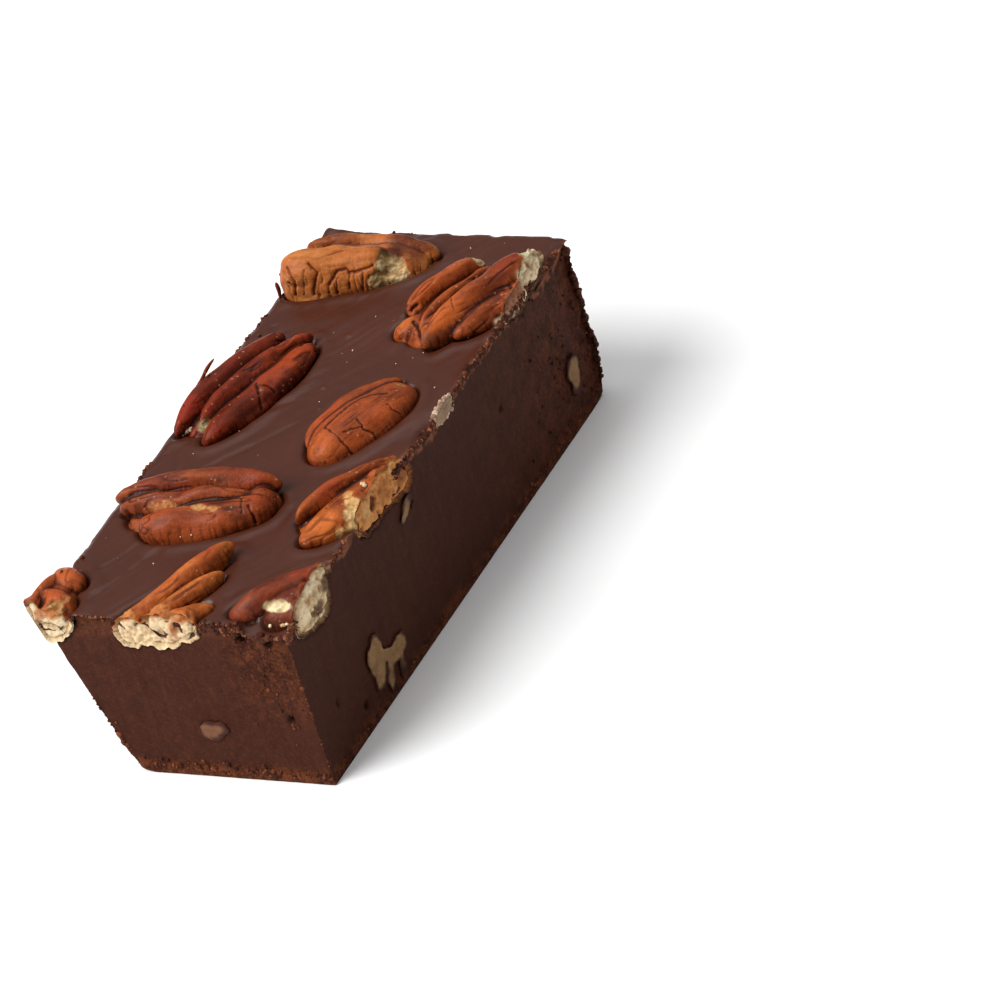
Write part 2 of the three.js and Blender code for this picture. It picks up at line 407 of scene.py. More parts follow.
def apply_modifier(piece: Piece, kind: str, **settings: object) -> None:
    """Adds a modifier to a piece and applies it.

    Args:
        piece: The piece.
        kind: Blender's name for the modifier.
        settings: The modifier's own settings.
    """
    alone(piece)
    modifier = piece.modifiers.new(kind.title(), kind)
    for name, value in settings.items():
        setattr(modifier, name, value)
    bpy.ops.object.modifier_apply(modifier=modifier.name)


def shade_smooth(piece: Piece, degrees: float) -> None:
    """Shades a piece smooth, apart from edges sharper than an angle."""
    alone(piece)
    bpy.ops.object.shade_smooth_by_angle(angle=math.radians(degrees))


def joined(pieces: list[Piece], name: str) -> Piece:
    """Joins pieces into the first one and names it."""
    alone(pieces[0])
    for piece in pieces[1:]:
        piece.select_set(True)
    if len(pieces) > 1:
        bpy.ops.object.join()
    pieces[0].name = name
    pieces[0].data.name = name
    return pieces[0]


def settle(piece: Piece, slot: str, *nodes: str) -> None:
    """Lets a piece ride on the bar and stand for its nodes."""
    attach(piece, BODY)
    if nodes:
        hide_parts(*nodes)


def dial(node: bpy.types.Node, settings: dict[str, object]) -> None:
    """Sets a node's inputs by their names."""
    for name, value in settings.items():
        node.inputs[name].default_value = value


class Shader:
    """A material's nodes, added one after another."""

    def __init__(self, name: str) -> None:
        """Starts a material that holds one Principled shader."""
        self.material = bpy.data.materials.new(name)
        self.material.use_nodes = True
        self.tree = self.material.node_tree
        self.surface = self.tree.nodes["Principled BSDF"]
        self.place = self.node("ShaderNodeTexCoord").outputs["Object"]

    def node(self, kind: str, **settings: object) -> bpy.types.Node:
        """Adds a node and sets its properties."""
        made = self.tree.nodes.new(kind)
        for name, value in settings.items():
            setattr(made, name, value)
        return made

    def link(self, output: Socket, entry: Socket) -> None:
        """Joins an output to an input."""
        self.tree.links.new(output, entry)

    def attribute(self, name: str, output: str) -> Socket:
        """The mesh's own colour or number of that name."""
        return self.node("ShaderNodeAttribute", attribute_name=name).outputs[output]

    def noise(self, size_mm: float, detail: float, rough: float) -> Socket:
        """Noise with lumps of a size in mm, from 0 to 1."""
        made = self.node("ShaderNodeTexNoise")
        dial(made, {"Scale": 1.0 / (size_mm * MM), "Detail": detail, "Roughness": rough})
        self.link(self.place, made.inputs["Vector"])
        return made.outputs["Fac"]

    def spread(
        self, value: Socket, low: float, high: float, first: float = 0.0, last: float = 1.0,
    ) -> Socket:
        """Maps a number of first to last to the range from low to high."""
        made = self.node("ShaderNodeMapRange")
        dial(made, {"From Min": first, "From Max": last, "To Min": low, "To Max": high})
        self.link(value, made.inputs["Value"])
        return made.outputs["Result"]

    def sums(self, kind: str, a: Socket, b: object) -> Socket:
        """A number worked out from a and from b, which is a socket or a number."""
        made = self.node("ShaderNodeMath", operation=kind)
        self.link(a, made.inputs[0])
        if isinstance(b, Socket):
            self.link(b, made.inputs[1])
        else:
            made.inputs[1].default_value = b
        return made.outputs[0]

    def times(self, colour: Socket, value: Socket) -> Socket:
        """A colour made lighter or darker by a number."""
        made = self.node("ShaderNodeVectorMath", operation="SCALE")
        self.link(colour, made.inputs[0])
        self.link(value, made.inputs["Scale"])
        return made.outputs[0]

    def bump(self, height: Socket, depth_mm: float, under: Socket | None = None) -> Socket:
        """A bumped normal, from a height of 0 to 1 that is depth_mm deep."""
        made = self.node("ShaderNodeBump")
        dial(made, {"Distance": depth_mm * MM, "Strength": 1.0})
        self.link(height, made.inputs["Height"])
        if under is not None:
            self.link(under, made.inputs["Normal"])
        return made.outputs["Normal"]


@dataclass(frozen=True)
class Finish:
    """How a surface looks close to: its fine grain, its gloss and its mottling.

    The colour itself comes from the mesh's own attribute named tint, and rough places,
    such as a torn face, come from the attribute named torn.
    """

    name: str
    roughness: float
    torn_roughness: float
    specular: float
    grain_mm: float
    grain_depth_mm: float
    torn_grain_mm: float
    torn_depth_mm: float
    mottle_mm: float
    mottle: float
    speck_mm: float = 0.5
    speck: Colour = (120, 72, 46)
    speck_share: float = 0.0

    WAVER = 0.06
    DARK_SPECK = (30, 15, 11)
    LIGHT_SPECKS = (0.56, 0.66)
    DARK_SPECKS = (0.44, 0.33)

    def make(self) -> bpy.types.Material:
        """Builds the material."""
        shader = Shader(self.name)
        surface = shader.surface
        tint = shader.attribute("tint", "Color")
        torn = shader.attribute("torn", "Fac")
        fine = shader.noise(self.grain_mm, 3.0, 0.6)
        coarse = shader.noise(self.mottle_mm, 4.0, 0.65)
        shade = shader.spread(coarse, 1.0 - self.mottle, 1.0 + self.mottle)
        colour = shader.times(tint, shade)
        if self.speck_share:
            colour = self.specked(shader, colour, torn)
        shader.link(colour, surface.inputs["Base Color"])
        rough = shader.sums("MULTIPLY", torn, self.torn_roughness - self.roughness)
        rough = shader.sums("ADD", rough, self.roughness)
        rough = shader.sums("ADD", rough, shader.spread(coarse, -self.WAVER, self.WAVER))
        shader.link(rough, surface.inputs["Roughness"])
        smooth_bump = shader.bump(fine, self.grain_depth_mm)
        torn_fine = shader.sums("MULTIPLY", shader.noise(self.torn_grain_mm, 4.0, 0.7), torn)
        shader.link(shader.bump(torn_fine, self.torn_depth_mm, smooth_bump), surface.inputs["Normal"])
        dial(surface, {"Specular IOR Level": self.specular})
        return shader.material

    def specked(self, shader: Shader, colour: Socket, torn: Socket) -> Socket:
        """Adds light and dark specks to torn places.

        Args:
            shader: The material's nodes.
            colour: The colour without specks.
            torn: How torn the surface is.

        Returns:
            The colour with them.
        """
        noise = shader.noise(self.speck_mm, 2.0, 0.6)
        for span, tone in ((self.LIGHT_SPECKS, self.speck), (self.DARK_SPECKS, self.DARK_SPECK)):
            share = shader.sums("MULTIPLY", shader.spread(noise, 0.0, 1.0, *span), torn)
            share = shader.sums("MULTIPLY", share, self.speck_share)
            mixed = shader.node("ShaderNodeMix", data_type="RGBA")
            factor, first, second = (entry for entry in mixed.inputs if entry.enabled)
            shader.link(share, factor)
            shader.link(colour, first)
            second.default_value = (*linear(tone), 1.0)
            colour = next(output for output in mixed.outputs if output.enabled)
        return colour


CHOCOLATE = Finish(
    "chocolate_fudge", roughness=0.33, torn_roughness=0.6, specular=0.26, grain_mm=0.5,
    grain_depth_mm=0.02, torn_grain_mm=0.4, torn_depth_mm=0.2, mottle_mm=2.2, mottle=0.08,
    speck_mm=0.55, speck=(104, 56, 32), speck_share=0.75,
)
CUT_CHOCOLATE = replace(
    CHOCOLATE, name="cut_fudge", roughness=0.5, torn_roughness=0.65, specular=0.05,
    grain_depth_mm=0.03, mottle=0.1,
)
NUT = Finish(
    "pecan", roughness=0.36, torn_roughness=0.6, specular=0.12, grain_mm=0.4, grain_depth_mm=0.09,
    torn_grain_mm=0.5, torn_depth_mm=0.16, mottle_mm=0.5, mottle=0.24,
)
CRUMB = Finish(
    "fudge_crumb", roughness=0.6, torn_roughness=0.65, specular=0.08, grain_mm=0.3,
    grain_depth_mm=0.05, torn_grain_mm=0.3, torn_depth_mm=0.05, mottle_mm=0.5, mottle=0.2,
)


class Face(Enum):
    """The knife's plane cuts, each by a point of the plane in mm and its outward normal."""

    RIGHT = ((HALF_WIDTH, 0.0, 0.0), (1.0, 0.0, 0.0))
    FRONT = ((0.0, -HALF_LENGTH, 0.0), (0.0, -1.0, 0.0))
    BACK = ((0.0, HALF_LENGTH, 0.0), (0.0, 1.0, 0.0))
    LIP = ((-HALF_WIDTH, 0.0, HEIGHT), (-HEIGHT, 0.0, -LEFT_SLANT))
    LEFT = ((LEFT_LIP - HALF_WIDTH, 0.0, HEIGHT), (-HEIGHT, 0.0, -LEFT_SLANT))

    @property
    def point(self) -> Array:
        """A point of the plane."""
        return np.array(self.value[0])

    @property
    def out(self) -> Array:
        """The plane's outward direction."""
        way = np.array(self.value[1])
        return way / np.linalg.norm(way)

    @property
    def tears(self) -> bool:
        """Whether the knife left a torn face of kernel here."""
        return self is not Face.LIP

    def beyond(self, points: Array) -> Array:
        """How far points are outside the plane in mm, below 0 inside."""
        return (points - self.point) @ self.out


def left_cut(z: Array) -> Array:
    """Where the slanted left side is at a height, without its lip and its rounded foot."""
    return LEFT_LIP - HALF_WIDTH + LEFT_SLANT * (HEIGHT - z) / HEIGHT


@dataclass(frozen=True)
class Lobe:
    """One lobe of a nut: a long rounded swell between two tips.

    half is its half-width, deep its whole thickness, bow how far its middle bends to the
    left, and blunt how square its ends are.
    """

    start: Point
    end: Point
    half: float
    deep: float
    bow: float = 0.0
    blunt: float = 2.6
    out: Point = (0.0, 0.0, 1.0)

    SIDES = 36
    RINGS = 26
    CUT_GRIP = 1e-4

    def model(self, cuts: tuple[Face, ...]) -> Piece:
        """Models the lobe from a round primitive and cuts off what lies beyond the cuts."""
        deselect()
        bpy.ops.mesh.primitive_uv_sphere_add(segments=self.SIDES, ring_count=self.RINGS, radius=MM)
        piece = bpy.context.object
        ball = places(piece)
        half_step = math.pi / self.SIDES
        turned = ball[:, 0] + 1j * ball[:, 1]
        turned *= np.exp(1j * half_step)
        along = np.clip(ball[:, 2], -1.0, 1.0)
        ring = np.sqrt(np.maximum(0.0, 1.0 - along**2))
        taper = np.sqrt(1.0 - np.abs(along) ** self.blunt) / np.maximum(ring, TINY)
        start, end = np.array(self.start), np.array(self.end)
        ahead = (end - start) / np.linalg.norm(end - start)
        facing = np.array(self.out) - ahead * np.dot(self.out, ahead)
        facing /= np.linalg.norm(facing)
        aside = np.cross(ahead, facing)
        middle = start + (end - start) * (along[:, None] + 1.0) / 2.0
        sideways = turned.real * taper * self.half - self.bow * (1.0 - along**2)
        upward = turned.imag * taper * self.deep / 2.0
        points = middle + aside * sideways[:, None] + facing * upward[:, None]
        piece.data.vertices.foreach_set("co", (points * MM).ravel())
        piece.data.update()
        alone(piece)
        bpy.ops.object.mode_set(mode="EDIT")
        bpy.ops.mesh.select_all(action="SELECT")
        bpy.ops.mesh.normals_make_consistent(inside=False)
        for cut in cuts:
            if cut.beyond(points).max() > 0.0:
                bpy.ops.mesh.select_all(action="SELECT")
                bpy.ops.mesh.bisect(
                    plane_co=cut.point * MM, plane_no=cut.out, use_fill=True, clear_outer=True,
                    threshold=self.CUT_GRIP * MM,
                )
        bpy.ops.object.mode_set(mode="OBJECT")
        return piece


def top_lobe(
    tip_a: Point, tip_b: Point, half: float, deep: float, swell: float,
    bow: float = 0.0, blunt: float = 2.6,
) -> Lobe:
    """A lobe of a pecan on the bar's top.

    Args:
        tip_a: One tip as x, y and rise, how high the lobe's back stands above the top there.
        tip_b: The other tip, in the same way.
        half: Its half-width in mm.
        deep: Its whole thickness.
        swell: How much more its back rises than the tips say, all along.
        bow: How far its middle bends to the left.
        blunt: How square its ends are.

    Returns:
        The lobe in the bar's frame.
    """
    sink = HEIGHT - deep / 2.0 + swell
    start = (tip_a[0], tip_a[1], sink + tip_a[2])
    end = (tip_b[0], tip_b[1], sink + tip_b[2])
    return Lobe(start, end, half, deep, bow, blunt)


@dataclass(frozen=True)
class Skin:
    """The colours of a nut's skin, and how they lie on it; the groove colour is also painted as shade
    into hollows, wrinkles and cracks.
    """

    ridge: Colour
    flank: Colour
    groove: Colour
    kernel: Colour = (196, 164, 118)
    wrinkle: float = 0.12
    pucker: float = 0.06
    lump: float = 0.22


@dataclass(frozen=True)
class Chip:
    """A place where the skin is broken off and the pale kernel shows."""

    at: Point
    radius: float
    depth: float = 0.35
    colour: Colour = (196, 164, 118)
    long: Point = (1.0, 1.0, 1.0)


@dataclass(frozen=True)
class Stain:
    """A soft-edged place where the skin has another colour."""

    at: Point
    radius: float
    colour: Colour
    long: Point = (1.0, 1.0, 1.0)


def in_radii(points: Array, spot: Chip | Stain) -> Array:
    """How far points are from the middle of a chip or a stain, in its own radii."""
    return np.linalg.norm((points - np.array(spot.at)) / np.array(spot.long), axis=1) / spot.radius


@dataclass(frozen=True)
class Crack:
    """A crack in a nut's skin, by its corners, sunk in and darkened; the darkening is painted shade."""

    line: tuple[Point, ...]
    width: float = 0.18
    depth: float = 0.35


@dataclass
class NutPiece:
    """A piece of pecan: its lobes fused to one body, wrinkled, cracked and coloured."""

    name: str
    lobes: tuple[Lobe, ...]
    skin: Skin
    seed: int
    cuts: tuple[Face, ...] = (Face.RIGHT, Face.FRONT)
    cracks: tuple[Crack, ...] = ()
    chips: tuple[Chip, ...] = ()
    stains: tuple[Stain, ...] = ()
    blushes: tuple[Stain, ...] = ()
    slot: str = "nut_skin"
    all_kernel: bool = False
    smear: Colour | None = None
    smear_below: float = BEYOND_ALL
    is_node: bool = True
    voxel: float = 0.17
    piece: Piece = field(init=False)
    grip: Array = field(init=False)

    # The noise in the outline, the relief and the colours; a nut's own seed is added to each
    TEAR = Pattern(Grain.lumps, 2.1, 41)
    FINE_TEAR = Pattern(Grain.lumps, 0.95, 43)
    CHIP_EDGE = Pattern(Grain.fractal, 1.5, 71, 4)
    LUMPS = Pattern(Grain.fractal, (6.0, 2.2, 2.2), 0, 2)
    WRINKLES = Pattern(Grain.creases, (5.5, 1.1, 1.3), 5, 6.0)
    WRINKLE_ZONES = Pattern(Grain.lumps, 4.0, 6)
    PUCKERS = Pattern(Grain.creases, (0.9, 3.5, 3.5), 9, 5.0)
    ROUGH = Pattern(Grain.fractal, 1.9, 13, 3)
    FINE_ROUGH = Pattern(Grain.fractal, 0.7, 15, 2)
    CRACK_WAVER = Pattern(Grain.lumps, 0.7, 17)
    CLOUD = Pattern(Grain.fractal, (4.4, 1.8, 1.8), 23, 3)
    VEINS = Pattern(Grain.creases, (1.4, 0.6, 0.6), 27, 9.0)
    VEIN_ZONES = Pattern(Grain.lumps, 2.5, 28)
    FINE_TINT = Pattern(Grain.fractal, (0.7, 0.45, 0.45), 29, 2)
    SPECKS = Pattern(Grain.pebbles, 0.6, 57)
    STAIN_EDGE = Pattern(Grain.fractal, 1.8, 47, 3)
    BLUSH_EDGE = Pattern(Grain.fractal, 1.3, 49, 3)
    SMEAR_EDGE = Pattern(Grain.fractal, 1.9, 51, 4)
    FLESH_CLOUD = Pattern(Grain.fractal, 1.9, 31, 3)
    FLESH_GRAIN = Pattern(Grain.lumps, 0.42, 33)
    FLESH_STAIN = Pattern(Grain.fractal, (2.6, 1.7, 1.7), 37, 3)
    FLESH_SEAMS = Pattern(Grain.creases, 1.8, 39, 9.0)

    # Distances in mm, shares, and rounds of smoothing
    SMOOTHING = 5
    SHADE_ANGLE = 60.0
    CUT_REACH = 0.3
    CUT_SINK = 0.25
    CUT_ROUND = 1.7
    CUT_RELIEF = 0.4
    CUT_INNER_ROUNDS = 50
    KERNEL_RELIEF = 0.3
    RAGGED_REACH = 2.6
    RAGGED = 0.6
    WARP = 0.5
    WARP_SIZES = (5.5, 5.5, 4.5)
    WARP_SEED = 45
    GRIP_BEYOND = 2.5
    RELIEF_ROUNDS = 28
    SPECK_TONE = (186, 138, 96)
    STAIN_SHARE = 0.85
    # The powers of red, green and blue in the kernel's painted shade and highlight, so that its hollows
    # turn warmer as they darken
    CAVITY_POWER = (0.7, 1.0, 1.4)

    def build(self, material: bpy.types.Material) -> Piece:
        """Builds the whole piece.

        Args:
            material: The nuts' finish.

        Returns:
            The finished piece, which stands for its node.
        """
        parts = [lobe.model(self.cuts) for lobe in self.lobes]
        self.piece = joined(parts, self.name + "_nut")
        apply_modifier(self.piece, "REMESH", mode="VOXEL", voxel_size=self.voxel * MM)
        apply_modifier(self.piece, "SMOOTH", factor=0.5, iterations=self.SMOOTHING)
        self.carve()
        self.piece.data.materials.append(material)
        shade_smooth(self.piece, self.SHADE_ANGLE)
        settle(self.piece, self.slot, *([self.name] if self.is_node else []))
        log.info("%s: %d faces", self.piece.name, len(self.piece.data.polygons))
        return self.piece

    def own_frame(self, points: Array) -> Array:
        """Places along, across and up the nut, from its first lobe."""
        run = np.array(self.lobes[0].end) - np.array(self.lobes[0].start)
        turn = math.atan2(run[1], run[0])
        along = points[:, 0] * math.cos(turn) + points[:, 1] * math.sin(turn)
        across = points[:, 1] * math.cos(turn) - points[:, 0] * math.sin(turn)
        return np.stack([along, across, points[:, 2]], 1)

    def cut_share(self, points: Array, out: Array) -> tuple[Array, Array]:
        """How much each point belongs to a plane cut face, and that face's outward way.

        Args:
            points: Places in mm, three to a row.
            out: The surface's outward direction at each of them.

        Returns:
            A share from 0 to 1 for each point, and a row with the cut's direction.
        """
        share = np.zeros(len(points))
        way = np.zeros((len(points), 3))
        for cut in filter(lambda face: face.tears, self.cuts):
            near = ease(-self.CUT_REACH, -self.CUT_REACH / 3.0, cut.beyond(points))
            near = near * ease(0.35, 0.75, out @ cut.out)
            way[near > share] = cut.out
            share = np.maximum(share, near)
        return share, way

    def ragged(self, points: Array, out: Array) -> Array:
        """Bends the piece a little, and tears the outline of its cut faces in their plane."""
        moved = points.copy()
        for axis, size in enumerate(self.WARP_SIZES):
            moved[:, axis] += self.WARP * Grain.lumps(points, size, self.seed + self.WARP_SEED + axis)
        tear = 0.3 + self.TEAR.at(points, self.seed) + 0.7 * self.FINE_TEAR.at(points, self.seed)
        for cut in filter(lambda face: face.tears, self.cuts):
            near = ease(-self.RAGGED_REACH, -0.2, cut.beyond(points))
            flat = out - (out @ cut.out)[:, None] * cut.out
            moved += flat * (self.RAGGED * near * tear)[:, None]
            moved -= cut.out * (cut.beyond(moved) * ease(-0.4, -0.1, cut.beyond(points)))[:, None]
        return moved

    def chip_share(self, points: Array, chip: Chip) -> Array:
        """How much each point belongs to a broken place, with a ragged edge."""
        ragged = 0.5 * self.CHIP_EDGE.at(points, self.seed)
        return ease(1.16, 0.84, in_radii(points, chip) + ragged)

    def carve(self) -> None:
        """Shapes the skin's relief and colours it."""
        points, out, pairs = places(self.piece), normals(self.piece), edges(self.piece)
        points = self.ragged(points, out)
        own = self.own_frame(points)
        skin, seed = self.skin, self.seed
        cut, way = self.cut_share(points, out)
        steep = 1.0 - np.abs(out[:, 2])
        peeled = cut.copy()
        for face in filter(lambda cut: cut.tears, self.cuts):
            under = ease(-1.8, -1.0, face.beyond(points)) * ease(0.3, 0.0, out[:, 2])
            peeled = np.maximum(peeled, under)
        broken = peeled if not self.all_kernel else np.ones(len(points))
        colours = [(peeled, linear(skin.kernel))]
        sink = np.zeros(len(points))
        for chip in self.chips:
            share = self.chip_share(points, chip)
            colours.append((share, linear(chip.colour)))
            sink += share * chip.depth
            broken = np.maximum(broken, share)
        whole = 1.0 - broken

        lumps = self.LUMPS.at(own, seed)
        wrinkles = self.WRINKLES.at(own + 0.5 * lumps[:, None], seed)
        wrinkles *= ease(-0.2, 0.5, self.WRINKLE_ZONES.at(own, seed))
        puckers = self.PUCKERS.at(own, seed) * ease(0.2, 0.8, steep)
        rough = self.ROUGH.at(points, seed) + 0.5 * self.FINE_ROUGH.at(points, seed)
        height = whole * (skin.lump * lumps - skin.wrinkle * wrinkles - skin.pucker * puckers)
        inner = relaxed(cut, pairs, self.CUT_INNER_ROUNDS)
        inner /= max(np.percentile(inner, 99.5), 0.3)
        height += broken * self.CUT_RELIEF * rough - sink
        if self.all_kernel:
            height *= self.KERNEL_RELIEF
        else:
            rounding = self.CUT_ROUND * np.maximum(0.0, 1.0 - inner)
            height += cut * (0.3 * rough - self.CUT_SINK - rounding)
        gash = np.zeros(len(points))
        for crack in self.cracks:
            gap = along_line(points, laid_on(points, np.array(crack.line)))
            gap = gap + 0.1 * self.CRACK_WAVER.at(points, seed)
            gash = np.maximum(gash, bell(gap, 0.9 * crack.width))
            height -= 0.65 * crack.depth * bell(gap, 1.1 * crack.width)
        carved = points + out * height[:, None]
        for face in self.cuts:
            carved -= np.maximum(0.0, face.beyond(carved))[:, None] * face.out
        put(self.piece, carved)
        self.grip = points + way * (cut * self.GRIP_BEYOND)[:, None]

        smooth = relaxed(carved, pairs, self.RELIEF_ROUNDS)
        relief = np.einsum("ij,ij->i", carved - smooth, out)
        relief /= max(np.percentile(np.abs(relief), 92), TINY)
        lines = np.maximum(wrinkles * skin.wrinkle * 5.0, puckers)
        tone = self.tint(carved, own, relief, whole, gash, lines, colours)
        if self.smear is not None:
            tone = self.smeared(tone, carved, inner)
        paint(self.piece, "tint", tone)
        paint(self.piece, "torn", 1.0 - whole)

    def tint(
        self, points: Array, own: Array, relief: Array, whole: Array, gash: Array,
        lines: Array, colours: list[tuple[Array, Array]],
    ) -> Array:
        """The colour of each vertex, before the knife's smears, with painted highlight and shade from
        the relief, and painted shade in wrinkles, cracks and the kernel's hollows.

        Args:
            points: Each vertex's place in mm.
            own: Its place along, across and up the nut.
            relief: How far it stands out of its surroundings, from -1 to 1.
            whole: How much skin is on it.
            gash: How much it lies in a crack, which is darkened there as painted shade.
            lines: How much it lies in a wrinkle, which is darkened there as painted shade.
            colours: The broken places and the kernel's colour in each.

        Returns:
            One colour a row.
        """
        skin, seed = self.skin, self.seed
        ridge, flank, groove = (linear(c) for c in (skin.ridge, skin.flank, skin.groove))
        cloud = 0.5 + 0.5 * self.CLOUD.at(own, seed)
        tone = blend(flank, ridge, ease(-0.7, 1.1, relief + 2.4 * (cloud - 0.5)))
        # Painted highlight and shade: raised places are made lighter, and hollows darker and nearer the
        # groove colour.
        tone = tone * (mix(0.78, 1.22, cloud) * mix(0.86, 1.16, ease(-1.0, 1.0, relief)))[:, None]
        tone = blend(tone, groove, ease(0.0, -0.95, relief))
        # Painted shade: the wrinkles and puckers are darkened towards the groove colour.
        tone = blend(tone, groove, 0.4 * np.clip(lines, 0.0, 1.0))
        veins = self.VEINS.at(own, seed) * ease(-0.2, 0.6, self.VEIN_ZONES.at(own, seed))
        tone = blend(tone, groove, 0.2 * veins)
        tone = tone * (1.0 + 0.26 * self.FINE_TINT.at(own, seed))[:, None]
        near, _, rare = self.SPECKS.at(points, seed)
        specks = 0.7 * ease(0.34, 0.16, near) * ease(0.9, 0.93, rare)
        tone = blend(tone, linear(self.SPECK_TONE), specks)
        for stain in self.stains:
            gap = in_radii(points, stain) + 0.35 * self.STAIN_EDGE.at(points, seed)
            # A stain keeps the lightness of the skin under it, its painted highlight and shade included.
            light = (tone.sum(1) / flank.sum() / 1.15).clip(0.4, 1.5)
            shade = linear(stain.colour) * light[:, None]
            tone = blend(tone, shade, self.STAIN_SHARE * ease(1.25, 0.45, gap))
        if self.all_kernel:
            tone = self.flesh(own, linear(skin.kernel), flank)
        # Painted shade and highlight on the broken kernel: its hollows are darker and warmer, its raised
        # places lighter.
        cavity = mix(0.7, 1.15, ease(-1.0, 0.8, relief))[:, None] ** np.array(self.CAVITY_POWER)
        for share, colour in colours:
            tone = blend(tone, self.flesh(own, colour, flank) * cavity, share)
        for blush in self.blushes:
            gap = in_radii(points, blush) + 0.5 * self.BLUSH_EDGE.at(points, seed)
            shade = linear(blush.colour) * mix(0.75, 1.25, cloud)[:, None]
            tone = blend(tone, shade, self.STAIN_SHARE * (1.0 - whole) * ease(1.3, 0.5, gap))
        # Painted shade: the cracks are darkened.
        return blend(tone, groove * 0.9, 0.6 * np.clip(gash, 0.0, 1.0))

    def smeared(self, tone: Array, points: Array, inner: Array) -> Array:
        """Lets the edges of a cut piece fade into the fudge that the knife smeared over it.

        Args:
            tone: The colour of each vertex.
            points: Their places in mm.
            inner: How far inside the cut face they are, from 0 at its edge to about 1.

        Returns:
            The colours with the smears.
        """
        ragged = 0.4 * self.SMEAR_EDGE.at(points, self.seed)
        bare = ease(0.5, 0.84, inner + ragged)
        if not self.all_kernel:
            low = ease(self.smear_below + 0.8, self.smear_below - 0.8, points[:, 2])
            bare = np.maximum(bare, 1.0 - low * ease(-0.5, -0.3, Face.RIGHT.beyond(points)))
        return blend(linear(self.smear), tone, bare)

    def flesh(self, points: Array, colour: Array, brown: Array) -> Array:
        """The uneven colour of broken kernel.

        Args:
            points: Places in mm, three to a row.
            colour: The kernel's own colour.
            brown: The colour of the flecks of skin in it.

        Returns:
            A colour for each point.
        """
        cloud = 0.5 + 0.5 * self.FLESH_CLOUD.at(points, self.seed)
        grain = 0.5 + 0.5 * self.FLESH_GRAIN.at(points, self.seed)
        tone = colour * (mix(0.84, 1.2, cloud) * mix(0.88, 1.12, grain))[:, None]
        stain = ease(0.12, 0.75, self.FLESH_STAIN.at(points, self.seed))
        tone = blend(tone, brown * 1.5, 0.4 * stain)
        return blend(tone, brown * 1.3, 0.22 * self.FLESH_SEAMS.at(points, self.seed))


# Skins of the halves, each by the colours of its ridges, its flanks and its grooves; the groove colour
# also serves as painted shade
ORANGE = Skin((139, 65, 27), (99, 38, 16), (46, 16, 7), (212, 188, 150), wrinkle=0.15)
ORANGE_TORN = Skin((140, 68, 27), (104, 41, 16), (46, 16, 7), (190, 126, 68), wrinkle=0.15)
RED = Skin((104, 34, 15), (77, 25, 10), (33, 11, 5), (204, 172, 132), wrinkle=0.17, lump=0.3)
TAN = Skin((150, 82, 36), (192, 120, 64), (108, 50, 24), pucker=0.14, lump=0.4)
DULL = Skin((134, 60, 25), (112, 49, 22), (64, 26, 12), wrinkle=0.06, pucker=0.04, lump=0.18)
BROWN = Skin((124, 57, 25), (94, 37, 18), (46, 18, 9), (160, 104, 64), wrinkle=0.13)
RUSTY = Skin((112, 48, 25), (88, 35, 18), (42, 17, 10), (206, 178, 136), wrinkle=0.16)
GOLD = Skin((164, 88, 37), (134, 61, 26), (54, 20, 9), (208, 182, 142), wrinkle=0.14)

# Skins of the broken pieces, of which mostly the kernel shows; SHADED's kernel is darkened as painted
# shade, for the pieces in the shaded straight cut side, and the pieces in the left and far cuts take it
# too
SHADED = Skin((98, 72, 46), (72, 46, 30), (50, 32, 22), kernel=(138, 104, 68))
DUSTY = Skin((98, 72, 46), (72, 46, 30), (50, 32, 22), kernel=(150, 120, 92))
FRONTAL = Skin((112, 62, 38), (96, 46, 28), (50, 30, 22), kernel=(114, 76, 54))

BRIGHT = (214, 196, 154)


# The nine halves pressed into the top, from the far end to the front
PECAN_FAR_LEFT = NutPiece(
    "pecan_far_left",
    (
        top_lobe((-22.4, 40, 0), (1.5, 47, 0), 6, 9, 4),
        top_lobe((-23, 36.6, 1), (-3.4, 42.6, 0), 3.7, 11, 6, blunt=5),
        top_lobe((-19.6, 41.2, 2.4), (-0.6, 44.4, 1), 1.8, 7, 2.4),
        top_lobe((-20.6, 43.8, 2), (3, 47.6, -0.6), 1.9, 6, 4.2, bow=1),
    ),
    TAN, 101, (Face.LIP,),
    cracks=(
        Crack(((-16, 36.6, 36.4), (-14.5, 36, 35.1), (-15, 35.6, 34), (-16, 35.2, 31)), 0.24, 0.6),
        Crack(((-12.9, 36, 32.8), (-11.9, 36.6, 33.9), (-11, 37.1, 35), (-9.8, 37.5, 35),
               (-9.2, 37.5, 34.3), (-8, 37.9, 34.1), (-6.1, 38.8, 34.4), (-5.4, 39.2, 34.6)), 0.26, 0.6),
        Crack(((-19.9, 35.9, 36), (-19.1, 34.9, 35.1), (-18.7, 34.7, 34), (-19.1, 34.5, 31.3)),
              0.22, 0.5),
        Crack(((-16.7, 35.8, 35.7), (-17.7, 34.8, 31.2)), 0.14, 0.2),
        Crack(((-13.1, 35.9, 32.5), (-13.1, 35.3, 31)), 0.18, 0.3),
        Crack(((-11.5, 36.6, 33.4), (-12.1, 36.4, 30.7)), 0.2, 0.4),
        Crack(((-9.3, 37.5, 34.1), (-9.7, 36.9, 31.4)), 0.2, 0.4),
        Crack(((-7, 38.3, 33.8), (-7.7, 37.8, 30.6)), 0.2, 0.4),
    ),
    chips=(
        Chip((-3.9, 41.4, 33.6), 2.5, 0.5, (180, 156, 112)),
        Chip((-4.8, 38.9, 31.6), 1.9, 0.3, (174, 144, 96)),
        Chip((-2.4, 40.8, 31.8), 1.9, 0.3, (180, 156, 112)),
    ),
    stains=(
        Stain((-1.5, 46.6, 35), 4.5, (99, 36, 17)),
        Stain((-11, 42.4, 35), 1.6, (73, 26, 14), (5, 0.7, 1.2)),
        Stain((-3.4, 43.7, 34.8), 2.2, (103, 38, 18)),
        Stain((-15, 44.5, 36), 2.6, (139, 64, 25), (2.5, 0.8, 1)),
    ),
)
